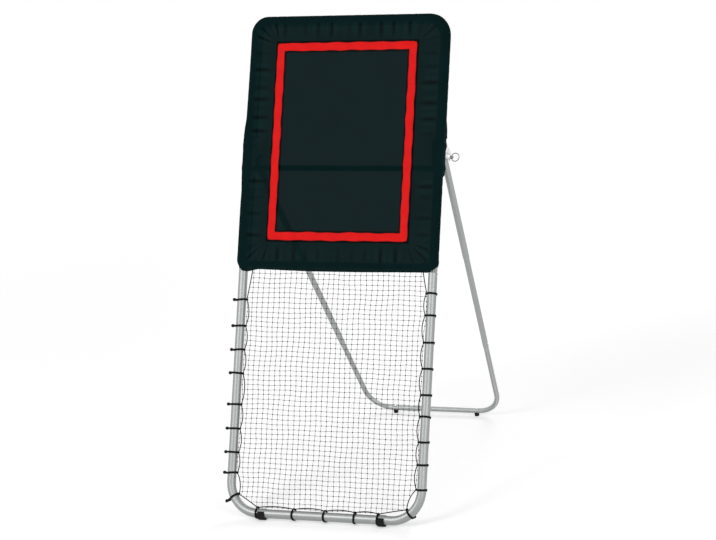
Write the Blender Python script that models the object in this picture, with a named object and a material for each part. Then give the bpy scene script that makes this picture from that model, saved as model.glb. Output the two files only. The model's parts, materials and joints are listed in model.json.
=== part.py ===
"""Rebound net: a leaning tube frame with a fabric target above and a net below, held up by a folding stand.

Metres, +Z up. The origin is on the ground, at the middle of the object's footprint. The front faces -Y.
The front frame is modelled upright, with X across, Y towards the back and Z along its height, under an
empty that leans it back. The stand is modelled under an empty on the axis that it folds about.
"""

import math

import bmesh
import bpy
from mathutils import Matrix, Vector

# Front frame
FRAME_WIDTH = 0.914
FRAME_HEIGHT = 2.134
TUBE_DIAMETER = 0.0381
TUBE_WALL = 0.0012
TOP_BEND = 0.09
BOTTOM_BEND = 0.13
LEAN = math.radians(24.0)
JOINT_HEIGHT = 1.030
PLUG_LENGTH = 0.055
SWAGE_LENGTH = 0.004
RAIL_ABOVE_JOINT = 0.0247
CROSS_TUBE_DIAMETER = 0.0254
CROSS_TUBE_PLATE = 0.010
SPIGOT_LENGTH = 0.026
SPIGOT_ROOT = 0.002

# Stand
STAND_REACH = 0.5932
LEG_DIAMETER = 0.0286
LEG_WALL = 0.0012
LEG_SLIP = 0.0004
LEG_ABOVE_PIVOT = 0.014
LEG_CAP_DEPTH = 0.005
LEG_CAP_RIM = 0.0015
LEG_OUTBOARD = 0.0025
UPPER_LEG = 0.565
MIDDLE_LEG = 1.095
LEG_LAP = 0.065
BASE_HALF_WIDTH = 0.314
BASE_BEND = 0.115

# Pivot bracket, lock pin and bolts
BRACKET_BOTTOM = 1.445
BRACKET_LENGTH = 0.140
BRACKET_PLATE = 0.003
BRACKET_NOSE = 0.016
BRACKET_NOSE_ABOVE = 55
BRACKET_NOSE_BELOW = 100
BRACKET_NOSE_INSET = 0.004
BRACKET_SHOULDER = 0.012
CROSSBAR_UP_BRACKET = 0.020
PIVOT_UP_BRACKET = 0.075
PIVOT_BEHIND = 0.046
BOLT_BELOW_BRACKET_TOP = 0.025
BOLT_DIAMETER = 0.008
BOLT_HEAD = 0.0055
BOLT_ACROSS = 0.013
NUT_HEIGHT = 0.0065
BOLT_TAIL = 0.003
BOLT_CHAMFER = 0.001
NUT_COLLAR = 0.002
SLEEVE_DIAMETER = 0.014
PIN_DIAMETER = 0.008
PIN_BELOW_PIVOT = 0.018
PIN_TIP = 0.006
PIN_TIP_TAPER = 0.003
PIN_HEAD_DIAMETER = 0.014
PIN_HEAD_LENGTH = 0.0105
RING_RADIUS = 0.017
RING_WIRE = 0.004
RING_HOLE = 0.0064
RING_IN_HEAD = 0.004

# Snap buttons
BUTTON_DIAMETER = 0.008
BUTTON_PROUD = 0.003
BUTTON_DOME = 0.0024
BUTTON_CROWN = 0.0006
BUTTON_CROWN_RADIUS = 0.0028
BUTTON_FLANGE = 0.012
BUTTON_FLANGE_THICK = 0.0012
FRAME_BUTTON_BELOW_SEAM = 0.018
LEG_BUTTON_ABOVE_SEAM = 0.020
SPRING_WIDTH = 0.008
SPRING_THICK = 0.0010
SPRING_DEPTH = 0.020
SPRING_TOP = 0.007
SPRING_ARM = 0.010
SPRING_BEND = 0.032
BUTTON_TRAVEL = 0.0045

# Feet
FOOT_SOLE = 0.0265
FOOT_RADIUS = 0.0275
FOOT_GROOVE = 0.0012
FOOT_LENGTH = 0.030
FOOT_RIBS = 5
FOOT_LIP_TURN = 45
FOOT_LIP_RADIUS = 0.0225
LEFT_FOOT_BEFORE_BEND = 0.024
RIGHT_FOOT_BEFORE_BEND = 0.042
BUMPER_RADIUS = 0.0105
BUMPER_HEIGHT = 0.013
BUMPER_SADDLE = 0.004
BUMPER_CHAMFER = 0.002
SCREW_DIAMETER = 0.005
SCREW_HEAD_RADIUS = 0.0055
SCREW_HEAD_HEIGHT = 0.003
SCREW_HEAD_CHAMFER = 0.0012
SCREW_BITE = 0.009

# Fabric
COVER_THICK = 0.002
COVER_BOTTOM_BEND = 0.045
COVER_RETURN = 0.012
COVER_OPEN_BEHIND = -0.006
COVER_UNDER_TAPE = 0.010
COVER_SLOT_MARGIN = 0.002
COVER_SLOT_INBOARD = 0.010
TAPE_THICK = 0.001
TAPE_WIDTH = 0.038
TAPE_INSET = 0.113
TAPE_ABOVE_RAIL = 0.0993
TAPE_BELOW_TOP = 0.0959
NET_THICK = 0.003
NET_BAND = 0.004
NET_OPENINGS_ACROSS = 7
NET_OPENINGS_UP = 9
ROPE_RADIUS = 0.0022
ROPE_BOW = 0.010
ROPE_BITE = 0.0008
TIE_RADIUS = 0.0025
TIE_REACH = 0.0075
TIE_DRAWN_OUT = 6
BEAD_RADIUS = 0.0065
BEAD_PLACE = 0.0310
RAIL_TIE_INSET = 0.045
FOOT_TO_LEFT_TIE = 0.0245
FOOT_TO_RIGHT_TIE = 0.0185

# How far each side's beads sit round towards the back of their tube, in degrees
LEFT_BEAD_TURN = 0
RIGHT_BEAD_TURN = 70
BOTTOM_BEAD_TURN = 75
RAIL_BEAD_TURN = 60

# Where the side ties sit, as shares of the way from the bottom bend to the joint, and where the middle
# bottom ones sit, as shares of the way from the middle to the right foot. Real ties keep only roughly even.
LEFT_TIES = (0.039, 0.136, 0.247, 0.361, 0.509, 0.619, 0.732, 0.856)
RIGHT_TIES = (0.003, 0.117, 0.221, 0.336, 0.437, 0.557, 0.678, 0.803, 0.904)
MIDDLE_TIES = (-0.518, 0.027, 0.534)
LEFT_CORNER_TIE = math.radians(210)
RIGHT_CORNER_TIE = math.radians(310)
RAIL_TIES = 5

# Room between pieces that touch, and how far a cut runs past what it cuts
GAP = 0.0003
CUT_PAST = 0.010

# A tube's facets, and the width of a faceted bore across its flats as a share of its diameter
TUBE_SIDES = 12
ACROSS_FLATS = math.cos(math.pi / TUBE_SIDES)

# Worked out from the sizes above
TUBE_RADIUS = TUBE_DIAMETER / 2
BORE_RADIUS = TUBE_RADIUS - TUBE_WALL
PLUG_RADIUS = BORE_RADIUS - GAP
HALF_WIDTH = FRAME_WIDTH / 2 - TUBE_RADIUS
HEIGHT = FRAME_HEIGHT - TUBE_DIAMETER
CROSS_RADIUS = CROSS_TUBE_DIAMETER / 2
RAIL_HEIGHT = JOINT_HEIGHT + RAIL_ABOVE_JOINT
FRAME_BUTTON_HEIGHT = JOINT_HEIGHT - FRAME_BUTTON_BELOW_SEAM
BRACKET_TOP = BRACKET_BOTTOM + BRACKET_LENGTH
CROSSBAR_HEIGHT = BRACKET_BOTTOM + CROSSBAR_UP_BRACKET
PIVOT_HEIGHT = BRACKET_BOTTOM + PIVOT_UP_BRACKET
BRACKET_BOLT_HEIGHT = BRACKET_TOP - BOLT_BELOW_BRACKET_TOP
TAPE_HALF_WIDTH = HALF_WIDTH - TAPE_INSET
TAPE_BOTTOM = RAIL_HEIGHT + TAPE_ABOVE_RAIL
TAPE_TOP = HEIGHT - TAPE_BELOW_TOP
LEFT_FOOT = LEFT_FOOT_BEFORE_BEND - (HALF_WIDTH - BOTTOM_BEND)
RIGHT_FOOT = HALF_WIDTH - BOTTOM_BEND - RIGHT_FOOT_BEFORE_BEND
BOTTOM_TIES = (
    LEFT_FOOT - FOOT_TO_LEFT_TIE,
    *(share * RIGHT_FOOT for share in MIDDLE_TIES),
    RIGHT_FOOT - FOOT_TO_RIGHT_TIE,
)
BUMPER_PLACE = BASE_HALF_WIDTH - BASE_BEND
LEG_RADIUS = LEG_DIAMETER / 2
MIDDLE_RADIUS = LEG_RADIUS - LEG_WALL - LEG_SLIP
BASE_RADIUS = MIDDLE_RADIUS - LEG_WALL - LEG_SLIP
LEG_PLACE = HALF_WIDTH + LEG_OUTBOARD
BOLT_RADIUS = BOLT_DIAMETER / 2
SLEEVE_RADIUS = SLEEVE_DIAMETER / 2
PIN_RADIUS = PIN_DIAMETER / 2
CHEEK_INSIDE = TUBE_RADIUS + GAP
CHEEK_OUTSIDE = CHEEK_INSIDE + BRACKET_PLATE
COVER_INSIDE = CHEEK_OUTSIDE + GAP
COVER_OUTSIDE = COVER_INSIDE + COVER_THICK

# Ground, pivot and stand angle
BAR_HEIGHT = FOOT_SOLE
BASE_BAR_HEIGHT = BUMPER_HEIGHT + BASE_RADIUS
PIVOT_Y = PIVOT_HEIGHT * math.sin(LEAN) + PIVOT_BEHIND * math.cos(LEAN)
PIVOT_Z = BAR_HEIGHT + PIVOT_HEIGHT * math.cos(LEAN) - PIVOT_BEHIND * math.sin(LEAN)
STAND_ANGLE = math.atan2(STAND_REACH, PIVOT_Z - BASE_BAR_HEIGHT)
LEG_LENGTH = math.hypot(STAND_REACH, PIVOT_Z - BASE_BAR_HEIGHT)
LEG_SPLAY = math.atan2(LEG_PLACE - BASE_HALF_WIDTH, LEG_LENGTH)
FOOTPRINT = PIVOT_Y + STAND_REACH
BAR_Y = (FOOT_RADIUS - BASE_RADIUS - FOOTPRINT) / 2

# The lock pin touches the back of the leg, just below the pivot
OPEN_ANGLE = LEAN + STAND_ANGLE
PIN_CLEAR = LEG_RADIUS + PIN_RADIUS + GAP
PIN_HEIGHT = PIVOT_HEIGHT - PIN_BELOW_PIVOT * math.cos(OPEN_ANGLE) + PIN_CLEAR * math.sin(OPEN_ANGLE)
PIN_BEHIND = PIVOT_BEHIND + PIN_BELOW_PIVOT * math.sin(OPEN_ANGLE) + PIN_CLEAR * math.cos(OPEN_ANGLE)

SIDES = (("left", -1), ("right", 1))
ACROSS = Vector((1, 0, 0))
BACKWARD = Vector((0, 1, 0))
UPWARD = Vector((0, 0, 1))
QUARTER_TURN = math.pi / 2


def material(name, color, roughness, metallic=0.0):
    made = bpy.data.materials.new(name)
    made.use_nodes = True
    shader = made.node_tree.nodes["Principled BSDF"]
    shader.inputs["Base Color"].default_value = (*color, 1.0)
    shader.inputs["Roughness"].default_value = roughness
    shader.inputs["Metallic"].default_value = metallic
    return made


def empty(name, parent=None, location=(0, 0, 0), rotation=(0, 0, 0)):
    made = bpy.data.objects.new(name, None)
    bpy.context.collection.objects.link(made)
    made.parent = parent
    made.location = location
    made.rotation_euler = rotation
    return made


def piece(name, bm, finish, parent, location=(0, 0, 0), rotation=(0, 0, 0), sharp=35):
    """Close a bmesh into a named object."""
    bmesh.ops.recalc_face_normals(bm, faces=bm.faces)
    mesh = bpy.data.meshes.new(name)
    bm.to_mesh(mesh)
    bm.free()
    mesh.shade_smooth()
    mesh.set_sharp_from_angle(angle=math.radians(sharp))
    made = bpy.data.objects.new(name, mesh)
    bpy.context.collection.objects.link(made)
    made.parent = parent
    made.location = location
    made.rotation_euler = rotation
    if finish:
        mesh.materials.append(finish)
    return made


def combine(target, tool, operation="DIFFERENCE"):
    """Cut the tool's shape out of the target, or join it on."""
    tool.display_type = "WIRE"
    tool.hide_render = True
    modifier = target.modifiers.new(tool.name, "BOOLEAN")
    modifier.operation = operation
    modifier.object = tool


def circle(radius, sides, phase=0.5):
    step = 2 * math.pi / sides
    return [
        (radius * math.cos((i + phase) * step), radius * math.sin((i + phase) * step))
        for i in range(sides)
    ]


def frames(path, normal, closed):
    """Give each point of a flat path with its side vector, stretched to keep the width round a bend."""
    count = len(path)
    made = []
    for i, point in enumerate(path):
        into = (point - path[i - 1]).normalized() if closed or i > 0 else None
        out = (path[(i + 1) % count] - point).normalized() if closed or i < count - 1 else None
        into = out if into is None else into
        out = into if out is None else out
        tangent = (into + out).normalized()
        made.append((point, normal.cross(tangent) / tangent.dot(out)))
    return made


def bridge(bm, a, b):
    for i in range(len(a)):
        j = (i + 1) % len(a)
        bm.faces.new((a[i], a[j], b[j], b[i]))


def skin(bm, path, normal, sections, closed=False):
    """Carry closed sections, one for each point, along a flat path. Return the rings of vertices."""
    rings = []
    for (point, side), section in zip(frames(path, normal, closed), sections):
        rings.append([bm.verts.new(point + side * across + normal * up) for across, up in section])
    for a, b in zip(rings, rings[1:]):
        bridge(bm, a, b)
    if closed:
        bridge(bm, rings[-1], rings[0])
    return rings


def tube(path, normal, outer, wall, sides=TUBE_SIDES):
    """A tube with open ends. outer is one radius for each point of the path."""
    bm = bmesh.new()
    outside = skin(bm, path, normal, [circle(r, sides) for r in outer])
    inside = skin(bm, path, normal, [circle(r - wall, sides) for r in outer])
    bridge(bm, outside[0], inside[0])
    bridge(bm, outside[-1], inside[-1])
    return bm


def rod(bm, path, normal, radius, sides=6, closed=False):
    """A solid round bar or cord along a flat path."""
    rings = skin(bm, path, normal, [circle(radius, sides)] * len(path), closed)
    if not closed:
        bm.faces.new(rings[0])
        bm.faces.new(rings[-1])


def rounded(corners, bends, steps=6, closed=False):
    """A flat path through corners, each rounded to its bend radius. The ends of an open path stay."""
    points = []
    count = len(corners)
    for i, (corner, bend) in enumerate(zip(corners, bends)):
        if bend == 0:
            points.append(corner)
            continue
        before = (corners[i - 1] - corner).normalized()
        after = (corners[(i + 1) % count] - corner).normalized()
        half = before.angle(after) / 2
        centre = corner + (before + after).normalized() * (bend / math.sin(half))
        start = (corner + before * (bend / math.tan(half)) - centre).normalized()
        end = (corner + after * (bend / math.tan(half)) - centre).normalized()
        sweep = start.angle(end)
        for step in range(steps + 1):
            t = step / steps
            weight = (math.sin((1 - t) * sweep) * start + math.sin(t * sweep) * end) / math.sin(sweep)
            points.append(centre + weight * bend)
    return points


def revolve(bm, profile, sides=16, loop=False):
    """Turn (radius, height) points round Z. A radius of 0 is a pole. A third value of 6 makes a hexagon."""
    rings = []
    for radius, height, *hexagon in profile:
        if radius == 0:
            rings.append([bm.verts.new((0, 0, height))])
            continue
        ring = []
        for i in range(sides):
            angle = 2 * math.pi * i / sides
            reach = radius * math.cos(math.pi / 6) if hexagon and i % 2 else radius
            ring.append(bm.verts.new((reach * math.cos(angle), reach * math.sin(angle), height)))
        rings.append(ring)
    pairs = list(zip(rings, rings[1:]))
    if loop:
        pairs.append((rings[-1], rings[0]))
    for a, b in pairs:
        if len(a) == 1 or len(b) == 1:
            pole, ring = (a[0], b) if len(a) == 1 else (b[0], a)
            for i in range(sides):
                bm.faces.new((pole, ring[i], ring[(i + 1) % sides]))
        else:
            bridge(bm, a, b)


def plate(bm, outline, low, high, place):
    """Extrude a closed outline of (a, b) points from low to high. place turns a, b and depth into a point."""
    rings = [[bm.verts.new(place(a, b, depth)) for a, b in outline] for depth in (low, high)]
    bridge(bm, rings[0], rings[1])
    bm.faces.new(rings[0])
    bm.faces.new(rings[1])


def drill(name, parent, holes, sides=10):
    """One cutter of several round holes. Each hole is (start, end, radius)."""
    bm = bmesh.new()
    for start, end, radius in holes:
        start, end = Vector(start), Vector(end)
        rod(bm, [start, end], (end - start).orthogonal().normalized(), radius, sides)
    return piece(name, bm, None, parent)


def hex_bolt(name, length, finish, parent, location, side):
    """A bolt across the frame, its hexagon head outboard and its seat at the location."""
    across = BOLT_ACROSS / 2 / math.cos(math.pi / 6)
    bm = bmesh.new()
    profile = [
        (0, -length),
        (BOLT_RADIUS - BOLT_CHAMFER, -length),
        (BOLT_RADIUS, BOLT_CHAMFER - length),
        (BOLT_RADIUS, 0),
        (across, 0, 6),
        (across, BOLT_HEAD - BOLT_CHAMFER, 6),
        (across - BOLT_CHAMFER, BOLT_HEAD, 6),
        (0, BOLT_HEAD),
    ]
    revolve(bm, profile, 12)
    return piece(name, bm, finish, parent, location, (0, side * QUARTER_TURN, 0))


def hex_nut(name, finish, parent, location, side):
    """A lock nut whose seat is at the location and whose round collar points inboard."""
    across = BOLT_ACROSS / 2 / math.cos(math.pi / 6)
    collar = (BOLT_ACROSS - NUT_COLLAR) / 2
    bore = BOLT_RADIUS + GAP
    bm = bmesh.new()
    profile = [
        (bore, 0),
        (across, 0, 6),
        (across, NUT_HEIGHT - NUT_COLLAR, 6),
        (collar, NUT_HEIGHT - NUT_COLLAR / 2),
        (collar, NUT_HEIGHT),
        (bore, NUT_HEIGHT),
    ]
    revolve(bm, profile, 12, loop=True)
    return piece(name, bm, finish, parent, location, (0, -side * QUARTER_TURN, 0))


def frame_point(x, height, behind=0.0):
    return Vector((x, behind, height))


def build_frame_tubes(steel, frame):
    w = HALF_WIDTH
    lower_end = JOINT_HEIGHT - PLUG_LENGTH
    corners = [frame_point(-w, HEIGHT), frame_point(w, HEIGHT)]
    arch = rounded([frame_point(-w, 0), *corners, frame_point(w, 0)], (0, TOP_BEND, TOP_BEND, 0), 4)[1:-1]
    swage_end = JOINT_HEIGHT + SWAGE_LENGTH
    swage = [(lower_end, PLUG_RADIUS), (JOINT_HEIGHT, PLUG_RADIUS), (swage_end, TUBE_RADIUS)]
    path = [frame_point(-w, h) for h, _ in swage] + arch + [frame_point(w, h) for h, _ in reversed(swage)]
    radii = [r for _, r in swage] + [TUBE_RADIUS] * len(arch) + [r for _, r in reversed(swage)]
    upper = piece("frame_upper_tube", tube(path, BACKWARD, radii, TUBE_WALL), steel, frame)

    bm = bmesh.new()
    for _, side in SIDES:
        ends = [w - TUBE_RADIUS - SPIGOT_LENGTH, w - BORE_RADIUS + SPIGOT_ROOT]
        line = [frame_point(side * x, RAIL_HEIGHT) for x in ends]
        rod(bm, line, BACKWARD, CROSS_RADIUS - TUBE_WALL - GAP, 12)
    combine(upper, piece("rail_spigots", bm, None, frame), "UNION")

    holes = []
    button_holes = []
    reach = TUBE_RADIUS + CUT_PAST
    for _, side in SIDES:
        for height in (BRACKET_BOLT_HEIGHT, CROSSBAR_HEIGHT):
            ends = [frame_point(side * (w + d), height) for d in (-reach, reach)]
            holes.append((*ends, BOLT_RADIUS + GAP))
        ends = [frame_point(side * (w + d), FRAME_BUTTON_HEIGHT) for d in (SPRING_WIDTH / 2, reach)]
        button_holes.append((*ends, BUTTON_DIAMETER / 2 + GAP))
    combine(upper, drill("upper_tube_holes", frame, holes + button_holes))

    seam = JOINT_HEIGHT - GAP
    corners = [frame_point(-w, seam), frame_point(-w, 0), frame_point(w, 0), frame_point(w, seam)]
    path = rounded(corners, (0, BOTTOM_BEND, BOTTOM_BEND, 0), 6)
    bent = tube(path, BACKWARD, [TUBE_RADIUS] * len(path), TUBE_WALL)
    lower = piece("frame_lower_tube", bent, steel, frame)
    combine(lower, drill("lower_tube_holes", frame, button_holes))


def build_cross_tubes(steel, frame):
    """The tube across the brackets, with drilled end plates, and the rail, coped to the side tubes."""
    bore = CROSS_RADIUS - TUBE_WALL
    turned = (0, QUARTER_TURN, 0)

    half = HALF_WIDTH - CHEEK_OUTSIDE - GAP
    hole = BOLT_RADIUS + GAP
    inner = half - CROSS_TUBE_PLATE
    profile = [(CROSS_RADIUS, -half), (CROSS_RADIUS, half), (hole, half), (hole, inner),
               (bore, inner), (bore, -inner), (hole, -inner), (hole, -half)]
    bm = bmesh.new()
    revolve(bm, profile, 12, loop=True)
    piece("crossbar", bm, steel, frame, frame_point(0, CROSSBAR_HEIGHT), turned)

    half = HALF_WIDTH - math.sqrt(TUBE_RADIUS**2 - CROSS_RADIUS**2)
    profile = [(CROSS_RADIUS, -half), (CROSS_RADIUS, half), (bore, half), (bore, -half)]
    bm = bmesh.new()
    revolve(bm, profile, 16, loop=True)
    rail = piece("net_rail", bm, steel, frame, frame_point(0, RAIL_HEIGHT), turned)
    reach = CROSS_RADIUS + CUT_PAST
    coping = []
    for _, side in SIDES:
        low, high = (frame_point(side * HALF_WIDTH, RAIL_HEIGHT + d) for d in (-reach, reach))
        coping.append((low, high, TUBE_RADIUS + GAP))
    combine(rail, drill("rail_coping", frame, coping, 24))


def bracket_outline():
    """Side view of a cheek, as (behind, height): a strip along the tube and an ear drawn back to a round nose."""
    front = -CHEEK_OUTSIDE
    centre = PIN_BEHIND - BRACKET_NOSE_INSET
    steps = 6
    nose = []
    for i in range(steps + 1):
        a = math.radians((BRACKET_NOSE_BELOW + BRACKET_NOSE_ABOVE) * i / steps - BRACKET_NOSE_BELOW)
        nose.append((centre + BRACKET_NOSE * math.cos(a), PIN_HEIGHT + BRACKET_NOSE * math.sin(a)))
    rise = math.tan(math.radians(BRACKET_NOSE_BELOW) - QUARTER_TURN)
    root = nose[0][1] + (nose[0][0] - BRACKET_SHOULDER) * rise
    bottom = [(front, BRACKET_BOTTOM), (BRACKET_SHOULDER, BRACKET_BOTTOM), (BRACKET_SHOULDER, root)]
    top = [(BRACKET_SHOULDER, BRACKET_TOP), (front, BRACKET_TOP)]
    return bottom + nose + top


def build_bracket(name, side, zinc, frame):
    """A steel channel slipped over the side tube from the front, with its cheeks drawn back past the leg."""
    x = side * HALF_WIDTH
    bm = bmesh.new()
    plate(bm, bracket_outline(), x - CHEEK_OUTSIDE, x + CHEEK_OUTSIDE, lambda a, b, d: (d, a, b))
    bracket = piece(f"pivot_bracket_{name}", bm, zinc, frame, sharp=25)

    bm = bmesh.new()
    low, high = BRACKET_BOTTOM - CUT_PAST, BRACKET_TOP + CUT_PAST
    behind = PIN_BEHIND + BRACKET_NOSE + CUT_PAST
    channel = [(-CHEEK_INSIDE, low), (behind, low), (behind, high), (-CHEEK_INSIDE, high)]
    plate(bm, channel, x - CHEEK_INSIDE, x + CHEEK_INSIDE, lambda a, b, d: (d, a, b))
    combine(bracket, piece(f"bracket_channel_{name}", bm, None, frame))

    reach = CHEEK_OUTSIDE + CUT_PAST
    places = [
        (BRACKET_BOLT_HEIGHT, 0, BOLT_RADIUS),
        (CROSSBAR_HEIGHT, 0, BOLT_RADIUS),
        (PIVOT_HEIGHT, PIVOT_BEHIND, BOLT_RADIUS),
        (PIN_HEIGHT, PIN_BEHIND, PIN_RADIUS),
    ]
    holes = [
        (frame_point(x - reach, height, behind), frame_point(x + reach, height, behind), radius + GAP)
        for height, behind, radius in places
    ]
    combine(bracket, drill(f"bracket_holes_{name}", frame, holes))


def build_bracket_bolts(name, side, zinc, frame):
    outer = side * (HALF_WIDTH + CHEEK_OUTSIDE + GAP)
    inner = side * (HALF_WIDTH - CHEEK_OUTSIDE - GAP)
    through = 2 * (CHEEK_OUTSIDE + GAP) + NUT_HEIGHT + BOLT_TAIL
    at = frame_point(outer, BRACKET_BOLT_HEIGHT)
    hex_bolt(f"bracket_bolt_{name}", through, zinc, frame, at, side)
    hex_nut(f"bracket_nut_{name}", zinc, frame, frame_point(inner, BRACKET_BOLT_HEIGHT), side)

    into_crossbar = 2 * (CHEEK_OUTSIDE + GAP) + CROSS_TUBE_PLATE + BOLT_TAIL
    hex_bolt(f"crossbar_bolt_{name}", into_crossbar, zinc, frame, frame_point(outer, CROSSBAR_HEIGHT), side)

    at = frame_point(outer, PIVOT_HEIGHT, PIVOT_BEHIND)
    hex_bolt(f"pivot_bolt_{name}", through, zinc, frame, at, side)
    hex_nut(f"pivot_nut_{name}", zinc, frame, frame_point(inner, PIVOT_HEIGHT, PIVOT_BEHIND), side)


def build_lock_pin(name, side, steel, frame):
    """A straight pin through both cheeks, with a drilled head, and the wire ring that pulls it."""
    at = frame_point(side * (HALF_WIDTH + CHEEK_OUTSIDE + GAP), PIN_HEIGHT, PIN_BEHIND)
    tip = -2 * (CHEEK_OUTSIDE + GAP) - PIN_TIP
    head = PIN_HEAD_DIAMETER / 2
    profile = [
        (0, tip),
        (PIN_RADIUS / 2, tip),
        (PIN_RADIUS, tip + PIN_TIP_TAPER),
        (PIN_RADIUS, 0),
        (head, 0),
        (head, PIN_HEAD_LENGTH - BOLT_CHAMFER),
        (head - BOLT_CHAMFER, PIN_HEAD_LENGTH),
        (0, PIN_HEAD_LENGTH),
    ]
    bm = bmesh.new()
    revolve(bm, profile, 12)
    pin = piece(f"lock_pin_{name}", bm, steel, frame, at, (0, side * QUARTER_TURN, 0))
    hole = at + ACROSS * side * RING_IN_HEAD
    reach = UPWARD * (head + CUT_PAST)
    combine(pin, drill(f"pin_hole_{name}", frame, [(hole - reach, hole + reach, RING_HOLE / 2)]))

    slack = (RING_RADIUS - math.sqrt(RING_RADIUS**2 - head**2)) / 2
    centre = hole + ACROSS * side * (RING_RADIUS - slack)
    steps = 16
    path = []
    for i in range(steps):
        a = 2 * math.pi * i / steps
        path.append(centre + RING_RADIUS * (ACROSS * math.cos(a) + UPWARD * math.sin(a)))
    bm = bmesh.new()
    rod(bm, path, BACKWARD, RING_WIRE / 2, 4, closed=True)
    piece(f"pin_ring_{name}", bm, steel, frame)


def snap_button(name, zinc, parent, location, side, bore, reach):
    """A spring button: a domed stud that stands out of its hole, riveted to a V of spring strip in the tube.

    Its stud points along the parent's X, to the given side. bore is the radius of the tube that it sits in
    and reach is the radius of the tube that it locks.
    """
    stud = BUTTON_DIAMETER / 2
    flange = BUTTON_FLANGE / 2
    top = reach + BUTTON_PROUD
    seat = math.sqrt((bore * ACROSS_FLATS) ** 2 - flange**2) - GAP
    back = seat - BUTTON_FLANGE_THICK
    bm = bmesh.new()
    profile = [
        (0, back),
        (flange, back),
        (flange, seat),
        (stud, seat),
        (stud, top - BUTTON_DOME),
        (BUTTON_CROWN_RADIUS, top - BUTTON_CROWN),
        (0, top),
    ]
    revolve(bm, profile, 8)
    turn = (0, side * QUARTER_TURN, 0)
    button = piece(f"snap_button_{name}", bm, zinc, parent, location, turn)

    # The strip lies flat under the button, runs down the tube, bends back and comes up again
    depth = min(SPRING_DEPTH, 2 * back - BUTTON_TRAVEL - SPRING_WIDTH / 2)
    near = back + SPRING_THICK / 2
    far = near - depth
    outline = [(near, SPRING_TOP), (near, -SPRING_ARM), (near - depth / 2, -SPRING_BEND),
               (far, -SPRING_ARM), (far, SPRING_TOP)]
    bm = bmesh.new()
    section = [(SPRING_THICK / 2, SPRING_WIDTH / 2), (-SPRING_THICK / 2, SPRING_WIDTH / 2),
               (-SPRING_THICK / 2, -SPRING_WIDTH / 2), (SPRING_THICK / 2, -SPRING_WIDTH / 2)]
    path = [Vector((side * x, 0, z)) for x, z in outline]
    rings = skin(bm, path, BACKWARD, [section] * len(path))
    bm.faces.new(rings[0])
    bm.faces.new(rings[-1])
    combine(button, piece(f"button_spring_{name}", bm, None, parent, location), "UNION")


def build_leg(name, side, steel, plastic, zinc, stand, line):
    """Two tubes of a leg, each a slide fit in the one above, with their buttons, cap and pivot sleeve."""
    def leg_tube(node, top, bottom, radius):
        path = [Vector((0, 0, top)), Vector((0, 0, bottom))]
        return piece(node, tube(path, BACKWARD, [radius] * 2, LEG_WALL), steel, line)

    upper = leg_tube(f"leg_upper_{name}", LEG_ABOVE_PIVOT, -UPPER_LEG, LEG_RADIUS)
    middle = leg_tube(f"leg_middle_{name}", LEG_LAP - UPPER_LEG, -MIDDLE_LEG, MIDDLE_RADIUS)

    def button_hole(seam, radius):
        height = LEG_BUTTON_ABOVE_SEAM - seam
        ends = [Vector((side * x, 0, height)) for x in (SPRING_WIDTH / 2, radius + CUT_PAST)]
        return (*ends, BUTTON_DIAMETER / 2 + GAP)

    combine(upper, drill(f"upper_button_hole_{name}", line, [button_hole(UPPER_LEG, LEG_RADIUS)]))
    holes = [button_hole(UPPER_LEG, LEG_RADIUS), button_hole(MIDDLE_LEG, LEG_RADIUS)]
    combine(middle, drill(f"middle_button_holes_{name}", line, holes))

    reach = CHEEK_INSIDE + CUT_PAST
    x = side * HALF_WIDTH
    sleeve_hole = [(Vector((x - reach, 0, 0)), Vector((x + reach, 0, 0)), SLEEVE_RADIUS + GAP)]
    combine(upper, drill(f"leg_sleeve_hole_{name}", stand, sleeve_hole, 14))
    half = CHEEK_INSIDE - GAP
    bm = bmesh.new()
    bore = BOLT_RADIUS + GAP
    revolve(bm, [(SLEEVE_RADIUS, -half), (SLEEVE_RADIUS, half), (bore, half), (bore, -half)], 12, loop=True)
    piece(f"pivot_sleeve_{name}", bm, steel, stand, (x, 0, 0), (0, QUARTER_TURN, 0))

    plug = (LEG_RADIUS - LEG_WALL) * ACROSS_FLATS - GAP
    foot = LEG_ABOVE_PIVOT - LEG_CAP_DEPTH
    rim = LEG_ABOVE_PIVOT + GAP
    top = rim + LEG_CAP_RIM
    profile = [(0, foot), (plug, foot), (plug, rim), (LEG_RADIUS, rim),
               (LEG_RADIUS, top), (LEG_RADIUS - LEG_CAP_RIM, top + LEG_CAP_RIM), (0, top + LEG_CAP_RIM)]
    bm = bmesh.new()
    revolve(bm, profile, 12)
    piece(f"leg_cap_{name}", bm, plastic, line)

    at = (0, 0, LEG_BUTTON_ABOVE_SEAM - UPPER_LEG)
    snap_button(f"upper_leg_{name}", zinc, line, at, side, MIDDLE_RADIUS - LEG_WALL, LEG_RADIUS)
    at = (0, 0, LEG_BUTTON_ABOVE_SEAM - MIDDLE_LEG)
    snap_button(f"lower_leg_{name}", zinc, line, at, side, BASE_RADIUS - LEG_WALL, MIDDLE_RADIUS)


def leg_point(side, down):
    """A point on a leg's line, in the stand's own frame."""
    return Vector((side * (LEG_PLACE - down * math.sin(LEG_SPLAY)), 0, -down * math.cos(LEG_SPLAY)))


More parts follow.
